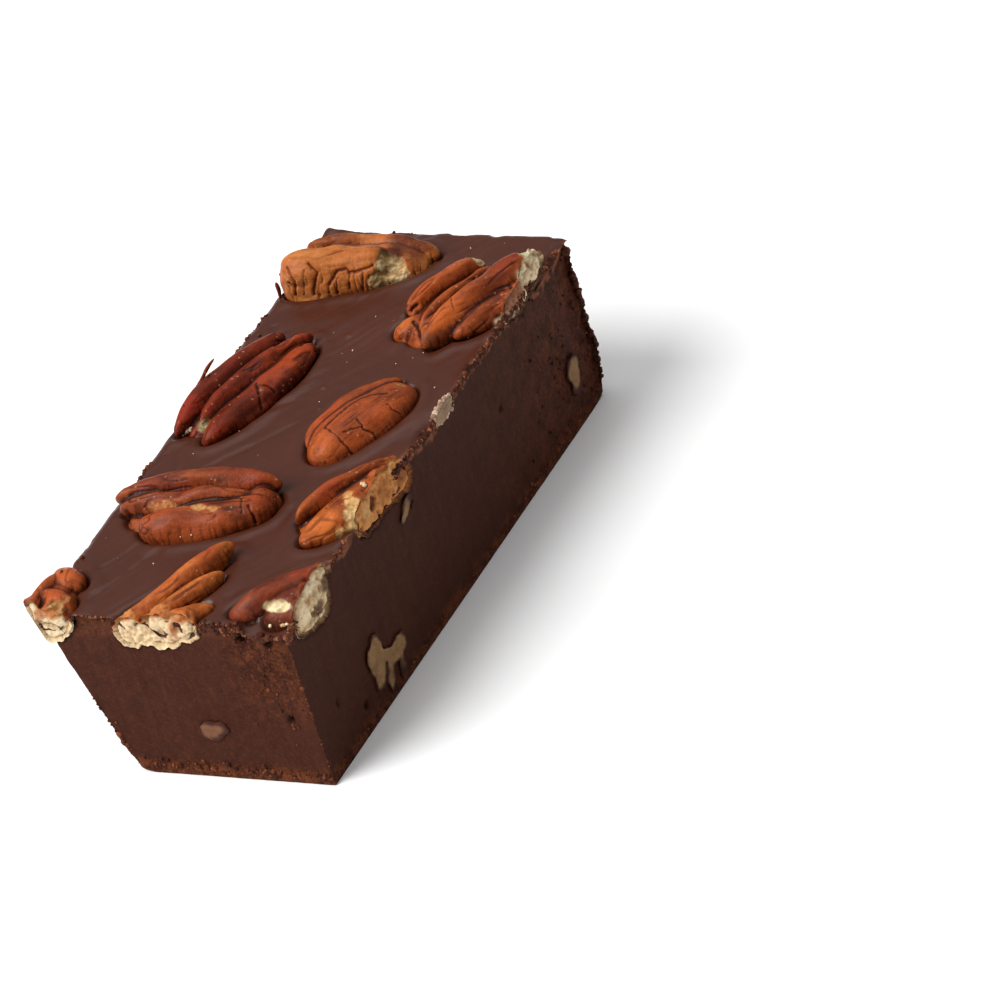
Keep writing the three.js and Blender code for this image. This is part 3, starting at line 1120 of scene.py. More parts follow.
PECAN_FAR_RIGHT = NutPiece(
    "pecan_far_right",
    (
        top_lobe((9, 22.5, 0), (20, 45, 0), 6, 7, 2.7),
        top_lobe((13, 20.3, 0), (24.8, 46.5, 1), 3, 8, 5, bow=0.7),
        top_lobe((5.7, 29, 0), (13.7, 43.5, 1), 2.3, 6, 4, bow=0.6),
        top_lobe((10, 25.5, 1), (16, 42.5, 1), 1.3, 5, 2.8),
        top_lobe((16.8, 23.3, 0), (26, 44.5, 0), 2.7, 5.4, 3.2, bow=-0.5),
        top_lobe((5.2, 24, 0), (10.5, 29.5, 0), 2.6, 5, 2),
    ),
    ORANGE, 202, (Face.RIGHT,),
    cracks=(
        Crack(((15.2, 28.4, 35.9), (16, 27.2, 35.6), (16.6, 26.4, 35.2)), 0.12, 0.15),
        Crack(((7.4, 29.6, 33.6), (6.4, 28.6, 33.4), (5.6, 27.4, 32.6), (5.8, 26, 31.2)), 0.4, 0.9),
        Crack(((8.6, 25.8, 33), (10.4, 23.4, 32), (11.6, 21.9, 31)), 0.3, 0.7),
    ),
    chips=(
        Chip((22.4, 43, 34.6), 2.3, 0.3, (196, 180, 144)),
        Chip((22.2, 38.6, 33.4), 2, 0.3, (196, 180, 144)),
        Chip((13.4, 42.6, 34), 1.2, 0.3, (186, 160, 118)),
    ),
    stains=(
        Stain((15, 27, 35), 2.6, (146, 70, 27), (1.2, 2.4, 1)),
        Stain((7.6, 32, 34), 2, (139, 62, 24), (1, 2.2, 1)),
        Stain((6.6, 25.8, 32.4), 2, (148, 76, 32)),
        Stain((7.2, 28.8, 32.9), 0.8, (58, 28, 18)),
        Stain((13.6, 20.9, 32.9), 1.3, (96, 50, 28)),
        Stain((20.5, 40, 36), 2.4, (99, 36, 17), (1, 2, 1)),
    ),
    blushes=(
        Stain((23, 41.4, 33.8), 0.8, (140, 74, 40)),
        Stain((22.6, 34.4, 32.2), 3, (124, 56, 26), (1.2, 1.6, 1)),
    ),
    smear=(62, 30, 19), smear_below=32.2,
)
PECAN_MID_LEFT = NutPiece(
    "pecan_mid_left",
    (
        top_lobe((-19.6, -6, 0), (-10.8, 21, 0), 5.2, 7, 2.3),
        top_lobe((-21.8, -6.8, 0), (-14.5, 21.3, 0), 2.3, 7, 4.6, bow=0.4),
        top_lobe((-17.8, -5, 0), (-9.8, 22, 0), 2, 6, 4, bow=0.8),
        top_lobe((-15.9, -8.3, 0), (-8.3, 20.4, 0), 3.2, 6, 2.8, bow=-0.8),
    ),
    RED, 303, (Face.LIP,),
    blushes=(Stain((-17.1, -4.4, 32.1), 0.5, (190, 176, 140)),),
    cracks=(
        Crack(((-11.6, 5.7, 33.4), (-10.2, 3.4, 32.5), (-10, 2.1, 30.9)), 0.2, 0.4),
        Crack(((-11.2, 5.5, 33.4), (-9.9, 5.9, 32.8), (-9.1, 5.9, 31.6)), 0.16, 0.3),
    ),
    chips=(
        Chip((-10.3, 4.7, 32.9), 0.6, 0.1, (150, 104, 66)),
        Chip((-17.1, -4.4, 32.1), 1.2, 0.3, (150, 132, 92)),
    ),
    stains=(
        Stain((-9.6, 15, 33.4), 3.4, (132, 51, 21), (1, 2, 1)),
        Stain((-10.6, 8, 33.4), 2.2, (119, 44, 20), (1, 1.4, 1)),
        Stain((-14.5, 15, 35.4), 2.2, (103, 36, 17), (1, 2, 1)),
        Stain((-20.4, -3, 34), 2.4, (104, 30, 15), (1, 1.6, 1)),
    ),
)
PECAN_CENTRE = NutPiece(
    "pecan_centre",
    (
        top_lobe((6.8, -11.6, 0), (15, 10, 0), 5.8, 8, 3.4),
        top_lobe((4.3, -8, 0), (13, 11, 0), 2.4, 5, 2.9, bow=1.8),
    ),
    DULL, 404, (),
    cracks=(
        Crack(((7.7, -5.9, 33.8), (8.4, -4, 34.1), (9.3, -0.6, 34.2), (10.6, 2.4, 34.1),
               (12.2, 4.1, 33.9), (13.8, 4.5, 33.7)), 0.3, 0.3),
        Crack(((12.3, -3.5, 33.9), (13.3, -4, 33.3), (13.9, -4.6, 32.9), (15, -4.2, 31.8),
               (15.5, -4.5, 30.6)), 0.16, 0.35),
        Crack(((11.2, -6.6, 33.5), (12.3, -5.4, 33.4), (13.4, -4.3, 33.2)), 0.12, 0.2),
        Crack(((7.9, -6.3, 33.7), (9.4, -7.3, 33.6), (11.3, -8.2, 32.9), (12.3, -8.6, 32.2),
               (13.1, -8.7, 30.6)), 0.14, 0.25),
        Crack(((15.3, 1.7, 33.3), (16.3, 1.1, 32.8), (17.2, 1.6, 31.5)), 0.12, 0.2),
    ),
    chips=(
        Chip((4, -3.2, 32.4), 0.7, 0.1, BRIGHT),
        Chip((14.2, 8, 32.9), 0.8, 0.1, (150, 96, 54), (1.6, 1, 1)),
    ),
    stains=(
        Stain((8.4, -9.4, 33), 3.2, (141, 68, 30)),
        Stain((14, 0, 33.6), 3.2, (135, 60, 25)),
        Stain((6, -2, 33.6), 2, (134, 56, 23), (1, 2.6, 1)),
    ),
)
PECAN_LEFT = NutPiece(
    "pecan_left",
    (
        top_lobe((-19.2, -29.4, 0), (6, -23, 0), 5.5, 7, 2),
        top_lobe((-3.5, -28.8, 0), (6.3, -21.6, 0), 3, 7, 2.9, blunt=3.4),
        top_lobe((-21.2, -27.4, 1), (6.4, -20.2, 0), 2.3, 6, 4.6, bow=1.4),
        top_lobe((-20.5, -28.2, 0), (3, -24, 1), 1.9, 6, 4, bow=-1),
        top_lobe((-15, -32.6, 1), (6.2, -23.4, 0), 3.3, 7, 3, bow=-1.8, blunt=6),
    ),
    BROWN, 505, (Face.LIP,),
    cracks=(
        Crack(((3.6, -27.3, 33.2), (4.6, -28.1, 31)), 0.2, 0.4),
        Crack(((2.1, -26.3, 33.8), (2.9, -28.5, 32.9)), 0.14, 0.2),
    ),
    chips=(
        Chip((-12.9, -29.1, 33.7), 0.75, 0.15, (166, 104, 62), (2, 1, 1.2)),
        Chip((-10.4, -29.1, 33.9), 0.8, 0.15, (176, 116, 70), (2.2, 1, 1.2)),
        Chip((-7.2, -29.6, 34.3), 0.75, 0.15, (150, 84, 48), (2.2, 1, 1.2)),
        Chip((-4.4, -29.4, 34.3), 0.8, 0.15, (186, 136, 84), (2.2, 1, 1.2)),
        Chip((-1.8, -29.4, 34.2), 0.7, 0.15, (176, 120, 72), (1.6, 1, 1.2)),
    ),
    stains=(
        Stain((-6, -32, 33), 3.4, (122, 54, 25), (3.4, 1, 1.3)),
        Stain((-12, -25.5, 35), 2.2, (96, 36, 18), (4, 1, 1.3)),
        Stain((2, -21.6, 34.6), 2.2, (108, 41, 18), (2, 1, 1.3)),
        Stain((4.4, -25.6, 32.8), 2.4, (125, 51, 21)),
    ),
)
PECAN_RIGHT_CUT = NutPiece(
    "pecan_right_cut",
    (
        top_lobe((14.5, -31.4, 0), (27.5, -10, 0), 6, 5.4, 1.2),
        top_lobe((12.7, -29, 0), (24, -12, 0), 2, 6, 3.8, bow=0.7),
        top_lobe((16.3, -34, 0), (26.5, -12.5, 0), 3.6, 6.4, 3.2),
        top_lobe((20, -19, 1), (27, -8, -3), 2.8, 5, 1.6),
    ),
    ORANGE_TORN, 606, (Face.RIGHT,),
    chips=(
        Chip((20.8, -24.1, 34), 1.1, 0.1, (204, 156, 98)),
        Chip((22.2, -25.8, 33.5), 1.3, 0.1, (206, 162, 104)),
        Chip((22.6, -27.5, 32.7), 1.3, 0.1, (214, 176, 120)),
        Chip((23.2, -28.4, 31), 1.5, 0.1, (206, 162, 104)),
        Chip((22.6, -30.8, 31), 1.5, 0.1, (198, 146, 88)),
        Chip((23.2, -33, 30.6), 1.2, 0.1, (202, 156, 102)),
        Chip((23.4, -21.6, 31), 1.2, 0.5, (112, 60, 32)),
    ),
    stains=(
        Stain((18.8, -30, 33.4), 2.8, (160, 82, 32), (1, 1.5, 1)),
        Stain((16.6, -22, 34.6), 2.2, (119, 47, 20), (1, 2.2, 1)),
    ),
    blushes=(
        Stain((23.4, -18, 31), 1.8, (164, 98, 48)),
        Stain((23.4, -11.6, 29.4), 1.8, (132, 78, 44)),
        Stain((23.4, -24, 31), 1.4, (208, 160, 102)),
        Stain((23.4, -14, 32.6), 1.6, (206, 156, 98)),
    ),
    smear=(66, 33, 22), smear_below=31.4,
)
PECAN_CORNER_LEFT = NutPiece(
    "pecan_corner_left",
    (
        top_lobe((-22.6, -41.6, 0), (-18.6, -63, 0), 3.5, 6.4, 1.5),
        top_lobe((-21.6, -42.6, 0), (-21.4, -61, 0), 1.9, 6, 2.5, bow=-1.4),
        top_lobe((-23.8, -44.4, 0), (-17.6, -48.6, 0), 2.3, 5, 2.6),
        top_lobe((-24.2, -50.6, 0), (-16.4, -53.6, 0), 2.4, 6, 2.3),
    ),
    ORANGE, 707, (Face.FRONT, Face.LIP),
    chips=(
        Chip((-17.2, -52.7, 33), 0.9, 0.1, (160, 98, 54)),
        Chip((-19, -55.4, 32.2), 1.8, 0.3, (170, 130, 82)),
    ),
    blushes=(
        Stain((-20.4, -55.5, 31.6), 1.6, (168, 96, 50), (1.6, 1, 0.8)),
        Stain((-22.4, -55.5, 29.4), 0.9, (150, 84, 44), (0.9, 1, 1.8)),
    ),
    stains=(
        Stain((-20.6, -47, 33.4), 2.6, (143, 67, 28), (1, 1.3, 1)),
        Stain((-20, -53, 33), 2.2, (132, 59, 25)),
    ),
)
PECAN_FRONT_CUT = NutPiece(
    "pecan_front_cut",
    (
        top_lobe((-5, -63, -1), (6, -39, -1.5), 5.9, 5.6, 1.5),
        top_lobe((-10.5, -61.5, -5), (5.2, -36.7, 0), 2.4, 7, 4.8, bow=-1.2),
        top_lobe((-3, -61, -1), (6.6, -42.6, 0), 1.9, 5, 3),
        top_lobe((1, -60.5, 0), (7.8, -49.6, 0), 2.4, 6, 1.9),
    ),
    GOLD, 808, (Face.FRONT,),
    chips=(
        Chip((-8.2, -54.6, 32.4), 1.3, 0.05, (172, 104, 54), (1.6, 1, 1)),
        Chip((-5.4, -54.6, 31.6), 1.2, 0.05, (180, 114, 62), (1.6, 1, 0.8)),
        Chip((0.6, -54.6, 33), 1.3, 0.05, (172, 104, 54), (1.6, 1, 1)),
        Chip((5, -54.6, 32), 1.2, 0.05, (168, 98, 50), (1.8, 1, 0.9)),
    ),
    blushes=(
        Stain((-6.4, -55.3, 32.2), 1.7, (176, 110, 58), (2, 1, 0.9)),
        Stain((-1.6, -55.3, 32.8), 1.5, (170, 100, 52), (1.8, 1, 0.9)),
        Stain((5, -55.3, 32.4), 1.6, (166, 96, 48), (2, 1, 0.9)),
        Stain((-2.2, -55.5, 29.6), 0.7, (176, 112, 64), (0.8, 1, 2)),
        Stain((2.9, -55.5, 29.4), 0.7, (164, 96, 52), (0.8, 1, 2.4)),
    ),
    stains=(
        Stain((-2.4, -49, 34.6), 2.2, (146, 68, 28), (1.6, 2.6, 1)),
        Stain((2.8, -40.5, 34), 2.4, (121, 46, 20)),
        Stain((4, -54, 31.8), 2.2, (139, 62, 25)),
    ),
)
PECAN_CORNER_RIGHT = NutPiece(
    "pecan_corner_right",
    (
        top_lobe((12.3, -53, 0), (25.4, -39, 0), 2.8, 6, 2.8),
        top_lobe((17.5, -52, 0), (28, -40, 0), 4.2, 8, 1.8),
    ),
    RUSTY, 909, (Face.FRONT, Face.RIGHT),
    chips=(
        Chip((20.4, -50.3, 31.8), 1.2, 0.15, BRIGHT, (2.2, 1, 0.7)),
        Chip((22.2, -48.2, 31.6), 1.3, 0.15, BRIGHT, (0.9, 1.6, 0.9)),
    ),
    stains=(
        Stain((14.4, -50.6, 33), 2.6, (112, 52, 30)),
        Stain((21.5, -43.5, 34), 2.4, (112, 42, 22)),
        Stain((19.6, -53.6, 29.6), 2.8, (58, 27, 16), (1.4, 1, 0.9)),
    ),
    blushes=(
        Stain((23.4, -40.4, 29.2), 1.7, (72, 37, 25), (1, 1.2, 1)),
        Stain((23.4, -44.6, 27), 1.5, (72, 37, 25), (1, 1.4, 0.9)),
        Stain((23.4, -47, 30), 0.9, (160, 112, 74)),
        Stain((23.4, -44.6, 31.6), 1.4, (232, 212, 176), (1, 1.9, 0.8)),
        Stain((23.4, -48.8, 28.8), 1.4, (230, 208, 170), (1, 1.3, 1.1)),
    ),
    smear=(66, 33, 22), smear_below=30.6,
)
PECANS = (
    PECAN_FAR_LEFT, PECAN_FAR_RIGHT, PECAN_MID_LEFT, PECAN_CENTRE, PECAN_LEFT, PECAN_RIGHT_CUT,
    PECAN_CORNER_LEFT, PECAN_FRONT_CUT, PECAN_CORNER_RIGHT,
)


def face_lobe(start: Point, end: Point, out: Point, half: float, deep: float) -> Lobe:
    """A lobe of a nut piece in a cut face; its tips lie just under the face."""
    sink = 0.02 * np.array(out)
    return Lobe(tuple(start - sink), tuple(end - sink), half, deep, out=out)


def right_lobe(y: float, z: float, end_y: float, end_z: float, half: float, deep: float) -> Lobe:
    """A lobe in the straight cut side, by where its two tips lie along and up the face."""
    return face_lobe((HALF_WIDTH, y, z), (HALF_WIDTH, end_y, end_z), (1.0, 0.0, 0.0), half, deep)


@dataclass(frozen=True)
class Chunk:
    """A broken piece of nut that the knife went through, seen in a cut face."""

    name: str
    face: Face
    lobes: tuple[Lobe, ...]
    skin: Skin = SHADED
    smear: Colour | None = (62, 31, 21)

    FIRST_SEED = 1200
    SEED_STEP = 10
    VOXEL = 0.2

    def nut(self, number: int) -> NutPiece:
        """The nut piece for it, whose seed follows from its number."""
        return NutPiece(
            self.name, self.lobes, self.skin, self.FIRST_SEED + self.SEED_STEP * number,
            (self.face,), slot="nut_kernel", all_kernel=True, smear=self.smear, voxel=self.VOXEL,
        )


def chunks() -> list[NutPiece]:
    """The broken pieces of nut in the cut faces."""
    left, front, back = (-1.0, 0.0, 0.0), (0.0, -1.0, 0.0), (0.0, 1.0, 0.0)
    # The fudge smeared over pieces in the straight cut side takes that side's darker tone, in part
    # painted shade.
    side_smear = (58, 26, 15)
    layout = (
        Chunk("chunk_side_front", Face.RIGHT, (
            right_lobe(-32.6, 13, -35.4, 4, 2.2, 5),
            right_lobe(-35.6, 12, -34.6, 6, 1.9, 5),
            right_lobe(-34, 9.4, -29, 6.4, 1.2, 4.4),
            right_lobe(-25.2, 6.8, -31.4, 6, 1.9, 4.4),
            right_lobe(-30.4, 7.8, -33.1, 1.4, 1, 4),
            right_lobe(-27.4, 5.4, -29.1, 1.2, 0.8, 3),
        ), smear=side_smear),
        Chunk("chunk_side_far", Face.RIGHT, (
            right_lobe(46.6, 12.2, 44.4, 5.8, 1.7, 5),
            right_lobe(43.4, 8.6, 45.6, 12.2, 1, 4),
        ), smear=side_smear),
        Chunk("chunk_side_sliver", Face.RIGHT, (
            right_lobe(-16.4, 22.4, -11.8, 25.2, 1, 3),
        ), smear=side_smear),
        Chunk("chunk_rim_right", Face.RIGHT, (right_lobe(2, 29.6, 8, 30.2, 0.9, 3),), DUSTY, None),
        Chunk("chunk_front", Face.FRONT, (
            face_lobe((1.2, -HALF_LENGTH, 9.4), (6.6, -HALF_LENGTH, 10.2), front, 1.3, 4),
            face_lobe((3, -HALF_LENGTH, 8), (4.2, -HALF_LENGTH, 10.4), front, 0.9, 4),
        ), FRONTAL),
        Chunk("chunk_left_front", Face.LEFT, (
            face_lobe((left_cut(14), -30, 12), (left_cut(17), -24, 18), left, 2, 5),
            face_lobe((left_cut(13), -26, 12), (left_cut(16), -23, 17), left, 1.3, 4),
        )),
        Chunk("chunk_left_far", Face.LEFT, (
            face_lobe((left_cut(9), 22, 8), (left_cut(10), 29, 10), left, 1.8, 5),
        )),
        Chunk("chunk_far_end", Face.BACK, (
            face_lobe((-6, HALF_LENGTH, 17), (0, HALF_LENGTH, 13), back, 2, 6),
            face_lobe((-3, HALF_LENGTH, 17), (-1, HALF_LENGTH, 11), back, 1.2, 5),
        )),
    )
    return [chunk.nut(number) for number, chunk in enumerate(layout)]


def flakes() -> list[NutPiece]:
    """The loose slivers of skin that stand up at two of the pecans."""
    fork = (
        Lobe((-21.6, -4.4, 33.4), (-20.4, 3.0, 35.4), 0.4, 0.9),
        Lobe((-20.9, 0.4, 34.6), (-19.8, 8.2, 37.1), 0.42, 0.8),
        Lobe((-20.5, 1.4, 34.9), (-19.0, 4.8, 36.2), 0.34, 0.7),
    )
    splinter = (Lobe((-22.8, 35.0, 30.2), (-23.3, 35.6, 33.2), 0.36, 0.6, out=(-1.0, 0.0, 0.0)),)
    return [
        NutPiece("pecan_mid_left_flake", fork, RED, 1401, (), is_node=False, voxel=0.12),
        NutPiece("pecan_far_left_splinter", splinter, RED, 1402, (), is_node=False, voxel=0.12),
    ]


@dataclass
class Hold:
    """How the fudge meets one nut: the nut's surface as a tree for measuring distances.

    smeared says that the nut lies in a cut face and that fudge is smeared over its edges.
    """

    tree: BVHTree
    low: Array
    high: Array
    smeared: bool = False

    REACH = 4.0
    EDGE = 0.2

    @classmethod
    def of(cls, piece: Piece, points: Array, smeared: bool = False) -> "Hold":
        """Takes the surface of a finished piece, with its vertices where points says."""
        faces = [tuple(p.vertices) for p in piece.data.polygons]
        tree = BVHTree.FromPolygons([tuple(p) for p in points], faces)
        return cls(tree, points.min(0), points.max(0), smeared)

    def distances(self, points: Array, known: Array) -> Array:
        """How far points are from the nut, below 0 inside it.

        Args:
            points: Places in mm, three to a row.
            known: The distance to the nearest nut so far.

        Returns:
            The smaller of what is known and the distance to this nut.
        """
        near = np.all((points > self.low - self.REACH) & (points < self.high + self.REACH), axis=1)
        best = known.copy()
        for index in np.flatnonzero(near):
            spot = Vector(points[index])
            place, normal, _, gap = self.tree.find_nearest(spot)
            signed = gap if (spot - place).dot(normal) > 0.0 else -gap
            best[index] = min(best[index], signed)
        return best

    def beside(self, points: Array) -> Array:
        """Whether points lie outside the nut's own box, where a thin nut's inside is unsure."""
        return np.any((points < self.low - self.EDGE) | (points > self.high + self.EDGE), axis=1)

    def nearest(self, spot: Array) -> tuple[float, Array, Array]:
        """The distance to the nearest place of the surface, that place and its normal."""
        place, normal, _, gap = self.tree.find_nearest(Vector(spot))
        return gap, np.array(place), np.array(normal)


@dataclass
class Bar:
    """The block of fudge: a grid over its top and sides, with the relief of each face."""

    across: int = 126
    along: int = 300
    up: int = 56
    piece: Piece = field(init=False)

    # The colours: of the top and the cuts, and what lies over them
    TOP_TONE = (68, 32, 20)
    CUT_TONE = (61, 30, 20)
    # The straight cut side's tone is darker than the other cuts', in part as painted shade.
    RIGHT_TONE = (58, 26, 15)
    STREAK_TONE = (86, 45, 31)
    RUST = (106, 57, 34)
    DARK = (34, 16, 11)
    BAND_TONE = (84, 50, 36)
    LEDGE_TONE = (104, 60, 42)
    RIM_TONE = (134, 80, 54)

    # The noise in its relief and its colours
    TOP_WAVES = Pattern(Grain.lumps, 17.0, 3)
    TOP_LUMPS = Pattern(Grain.fractal, 6.5, 11, 3)
    STREAKS = Pattern(Grain.lumps, (14.0, 1.5, 9.0), 21)
    FINE_STREAKS = Pattern(Grain.lumps, (9.0, 0.8, 9.0), 22)
    STREAK_ZONES = Pattern(Grain.lumps, 15.0, 27)
    STREAK_TINTS = Pattern(Grain.fractal, (12.0, 0.8, 9.0), 91, 3)
    CREASE_WAVER = Pattern(Grain.lumps, 2.6, 33)
    RIM_TEARS = Pattern(Grain.fractal, 2.4, 43, 3)
    CRUMBLE = Pattern(Grain.pebbles, 1.7, 61)
    CRUMBLE_LUMPS = Pattern(Grain.fractal, 1.5, 63, 3)
    FINE_CRUMBLE = Pattern(Grain.pebbles, 0.8, 67)
    FAR_CRUMBLE = Pattern(Grain.pebbles, 2.9, 73)
    FIBRES = Pattern(Grain.fractal, (0.9, 0.7, 16.0), 71, 2)
    CUT_WAVES = Pattern(Grain.fractal, 6.0, 79, 2)
    CLOUDS = Pattern(Grain.fractal, 8.0, 95, 3)
    PATCHES = Pattern(Grain.fractal, 3.2, 97, 3)
    MOTTLE = Pattern(Grain.fractal, 1.6, 99, 4)

    # Heights, depths and reaches in mm
    TOP_WAVE = 0.35
    TOP_LUMP = 0.2
    STREAK_DEPTH = 0.09
    CREASE_DEPTH = 0.15
    CREASE_HALF = 0.6
    PIMPLE_HEIGHT = 0.28
    PIMPLE_HALF = 0.5
    CRUMBLE_DEPTH = 0.6
    FIBRE_DEPTH = 0.08
    TIP_HEIGHT = 1.1
    TIP_REACH = 3.5
    STREAK_TURN = math.radians(57.0)
    CREASES = (
        ((-19.2, 26.1), (-17.6, 20.3)), ((-15.8, 23.4), (-14.4, 26.4)), ((-14.1, 22.0), (-12.0, 24.0)),
        ((-21.9, -15.8), (-21.2, -11.5)), ((-16.5, -16.8), (-18.4, -11.4)),
        ((-12.6, -15.2), (-6.5, -7.8), (-1.0, -0.4)), ((-16.8, -7.0), (-5.6, 5.0)),
        ((-14.7, -50.7), (-8.9, -36.8)), ((-17.0, -42.9), (-12.1, -34.4)),
    )
    RIM_PROFILE = (
        (-55.5, -0.2), (-38.0, 0.2), (-33.0, 0.0), (-13.0, 0.5), (-9.6, 0.7), (-5.0, -0.5),
        (-1.6, -1.5), (2.0, -0.6), (5.5, 0.1), (13.8, 0.7), (19.7, 0.6), (27.3, 0.0),
        (35.0, -0.9), (42.3, -1.8), (49.7, -1.1), (55.5, -0.5),
    )
    PIMPLES = ((0.6, 3.4), (-2.8, -15.3), (-1.6, 9.3), (-7.4, -14.8), (4.0, 30.0), (-4.0, 24.0))
    PITS = (
        ((HALF_WIDTH, -47.5, 10.5), 0.55), ((HALF_WIDTH, -27.1, 29.0), 0.9),
        ((HALF_WIDTH, -40.4, 4.5), 0.7), ((HALF_WIDTH, 21.0, 19.0), 0.6),
        ((19.0, -HALF_LENGTH, 12.6), 0.7), ((14.6, -HALF_LENGTH, 28.2), 0.9),
        ((19.4, -HALF_LENGTH, 27.6), 0.8), ((-6.0, -HALF_LENGTH, 18.0), 0.35),
    )
    SIDE_INSET = 0.1
    NO_NUT = 9.0
    SHADE_ANGLE = 50.0
    SOCKET_FROM = np.array([14.6, -54.4])
    SOCKET_TO = np.array([26.5, -54.6])
    SOCKET_HALF = 3.0
    SOCKET_DEEP = 4.4
    SOCKET_SWELL = 2.0

    def build(self, holds: list[Hold], materials: list[bpy.types.Material]) -> Piece:
        """Builds the bar.

        Args:
            holds: The nuts that the fudge grips.
            materials: The finishes of its top and of its cut faces.

        Returns:
            The finished piece, which stands for its node.
        """
        grid, faces = self.lattice()
        points, region = self.shape(grid, holds)
        self.piece = modelled("fudge_bar", points, faces)
        self.tint(points, grid, region)
        mesh = self.piece.data
        for material in materials:
            mesh.materials.append(material)
        on_cut = np.arange(len(mesh.polygons)) >= self.across * self.along
        mesh.polygons.foreach_set("material_index", on_cut.astype(np.int32))
        shade_smooth(self.piece, self.SHADE_ANGLE)
        settle(self.piece, "fudge", "fudge")
        log.info("%s: %d faces", self.piece.name, len(mesh.polygons))
        return self.piece

    def lattice(self) -> tuple[Array, list[tuple[int, ...]]]:
        """The grid over the block's skin.

        Returns:
            Each vertex's shares across, along and up from 0 to 1, and the faces.
        """
        nx, ny, nz = self.across, self.along, self.up
        ids: dict[tuple[int, int, int], int] = {}
        faces: list[tuple[int, ...]] = []
        forth = ((0, 0), (1, 0), (1, 1), (0, 1))

        def number(i: int, j: int, k: int) -> int:
            """The vertex number at a grid place, given out when first asked for."""
            return ids.setdefault((i, j, k), len(ids))

        def sheet(rows: int, columns: int, near: Callable, far: Callable | None = None) -> None:
            """Adds the faces of a side and of its opposite, which is wound the other way."""
            for a, b in itertools.product(range(rows), range(columns)):
                faces.append(tuple(number(*near(a + p, b + q)) for p, q in forth))
                if far is not None:
                    faces.append(tuple(number(*far(a + p, b + q)) for p, q in forth[::-1]))

        sheet(nx, ny, lambda i, j: (i, j, nz))
        sheet(ny, nz, lambda j, k: (nx, j, k), lambda j, k: (0, j, k))
        sheet(nx, nz, lambda i, k: (i, 0, k), lambda i, k: (i, ny, k))
        rim = [number(i, 0, 0) for i in range(nx)] + [number(nx, j, 0) for j in range(ny)]
        rim += [number(i, ny, 0) for i in range(nx, 0, -1)]
        rim += [number(0, j, 0) for j in range(ny, 0, -1)]
        faces.append(tuple(reversed(rim)))
        return np.array(list(ids), float) / np.array([nx, ny, nz]), faces

    def foot_draw(self, z: Array, height: float, reach: float) -> Array:
        """How far a rounded foot draws in at a height."""
        down = np.maximum(0.0, (height - z) / height)
        return reach * (1.0 - np.sqrt(np.maximum(0.0, 1.0 - down * down)))

    def top_height(self, x: Array, y: Array) -> Array:
        """The top's height above the underside, before the nuts' holds are pressed in."""
        flat = np.stack([x, y, np.full(len(x), HEIGHT)], 1)
        z = HEIGHT + self.TOP_WAVE * (self.TOP_WAVES.at(flat) - 0.5)
        z += self.TOP_LUMP * self.TOP_LUMPS.at(flat)
        turned = self.streak_frame(flat)
        streaks = self.STREAKS.at(turned) + 0.6 * self.FINE_STREAKS.at(turned)
        z += self.STREAK_DEPTH * streaks * self.streak_share(flat)
        for crease in self.CREASES:
            line = np.array([(*corner, HEIGHT) for corner in crease])
            gap = along_line(flat, line) + 0.5 * self.CREASE_WAVER.at(flat)
            z -= self.CREASE_DEPTH * bell(gap, self.CREASE_HALF)
        for pimple in self.PIMPLES:
            gap = np.hypot(x - pimple[0], y - pimple[1])
            z += self.PIMPLE_HEIGHT * bell(gap, self.PIMPLE_HALF)
        tip = (x + HALF_WIDTH) ** 2 + (y - HALF_LENGTH) ** 2
        z += self.TIP_HEIGHT * np.exp(-tip / self.TIP_REACH**2)
        return z

    def streak_frame(self, points: Array) -> Array:
        """Places along and across the smears that a spatula left."""
        c, s = math.cos(self.STREAK_TURN), math.sin(self.STREAK_TURN)
        x, y = points[:, 0], points[:, 1]
        return np.stack([x * c + y * s, y * c - x * s, points[:, 2]], 1)

    def streak_share(self, points: Array) -> Array:
        """Where the smears show most, from 0 to 1."""
        return 0.25 + 0.75 * ease(-0.1, 0.45, self.STREAK_ZONES.at(points))

    def socket_floor(self, x: Array, y: Array) -> Array:
        """The height of the smooth hollow in the right front corner, high where there is none."""
        centre = HEIGHT - self.SOCKET_DEEP / 2.0 + self.SOCKET_SWELL
        run = self.SOCKET_TO - self.SOCKET_FROM
        share = (x - self.SOCKET_FROM[0]) * run[0] + (y - self.SOCKET_FROM[1]) * run[1]
        share = share / (run @ run)
        along = np.clip(2.0 * share - 1.0, -1.0, 1.0)
        taper = np.sqrt(1.0 - np.abs(along) ** 2.6)
        side = (y - self.SOCKET_FROM[1] - share * run[1]) / self.SOCKET_HALF
        inside = np.maximum(0.0, taper**2 - side**2)
        return np.where(inside > 0.0, centre - self.SOCKET_DEEP / 2.0 * np.sqrt(inside), BEYOND_ALL)

    def shape(self, grid: Array, holds: list[Hold]) -> tuple[Array, dict[str, Array]]:
        """Moves the grid to the bar's surface.

        Args:
            grid: Each vertex's shares across, along and up.
            holds: The nuts that the fudge grips.

        Returns:
            The vertices in mm, and the shares of each kind of surface on them.
        """
        u, v, w = grid.T
        top, right, left = w == 1.0, u == 1.0, u == 0.0
        front, far = v == 0.0, v == 1.0
        z0 = HEIGHT * (w - 0.05 * np.sin(2.0 * np.pi * w))
        lip = LEFT_LIP * ease(HEIGHT - LEFT_LIP_DROP, HEIGHT, z0)
        left_x = left_cut(z0) - lip + self.foot_draw(z0, LEFT_FOOT_RADIUS, LEFT_FOOT_RADIUS)
        far_y = HALF_LENGTH - self.foot_draw(z0, FAR_FOOT_HEIGHT, FAR_FOOT_REACH)
        x = left_x + (HALF_WIDTH - left_x) * u
        y = -HALF_LENGTH + (far_y + HALF_LENGTH) * v
        rim_z = self.top_height(x, y) - self.rim_notches(x, y, u, v)
        z = z0 / HEIGHT * np.minimum(rim_z, self.socket_floor(x, y))
        points = np.stack([x, y, z], 1)

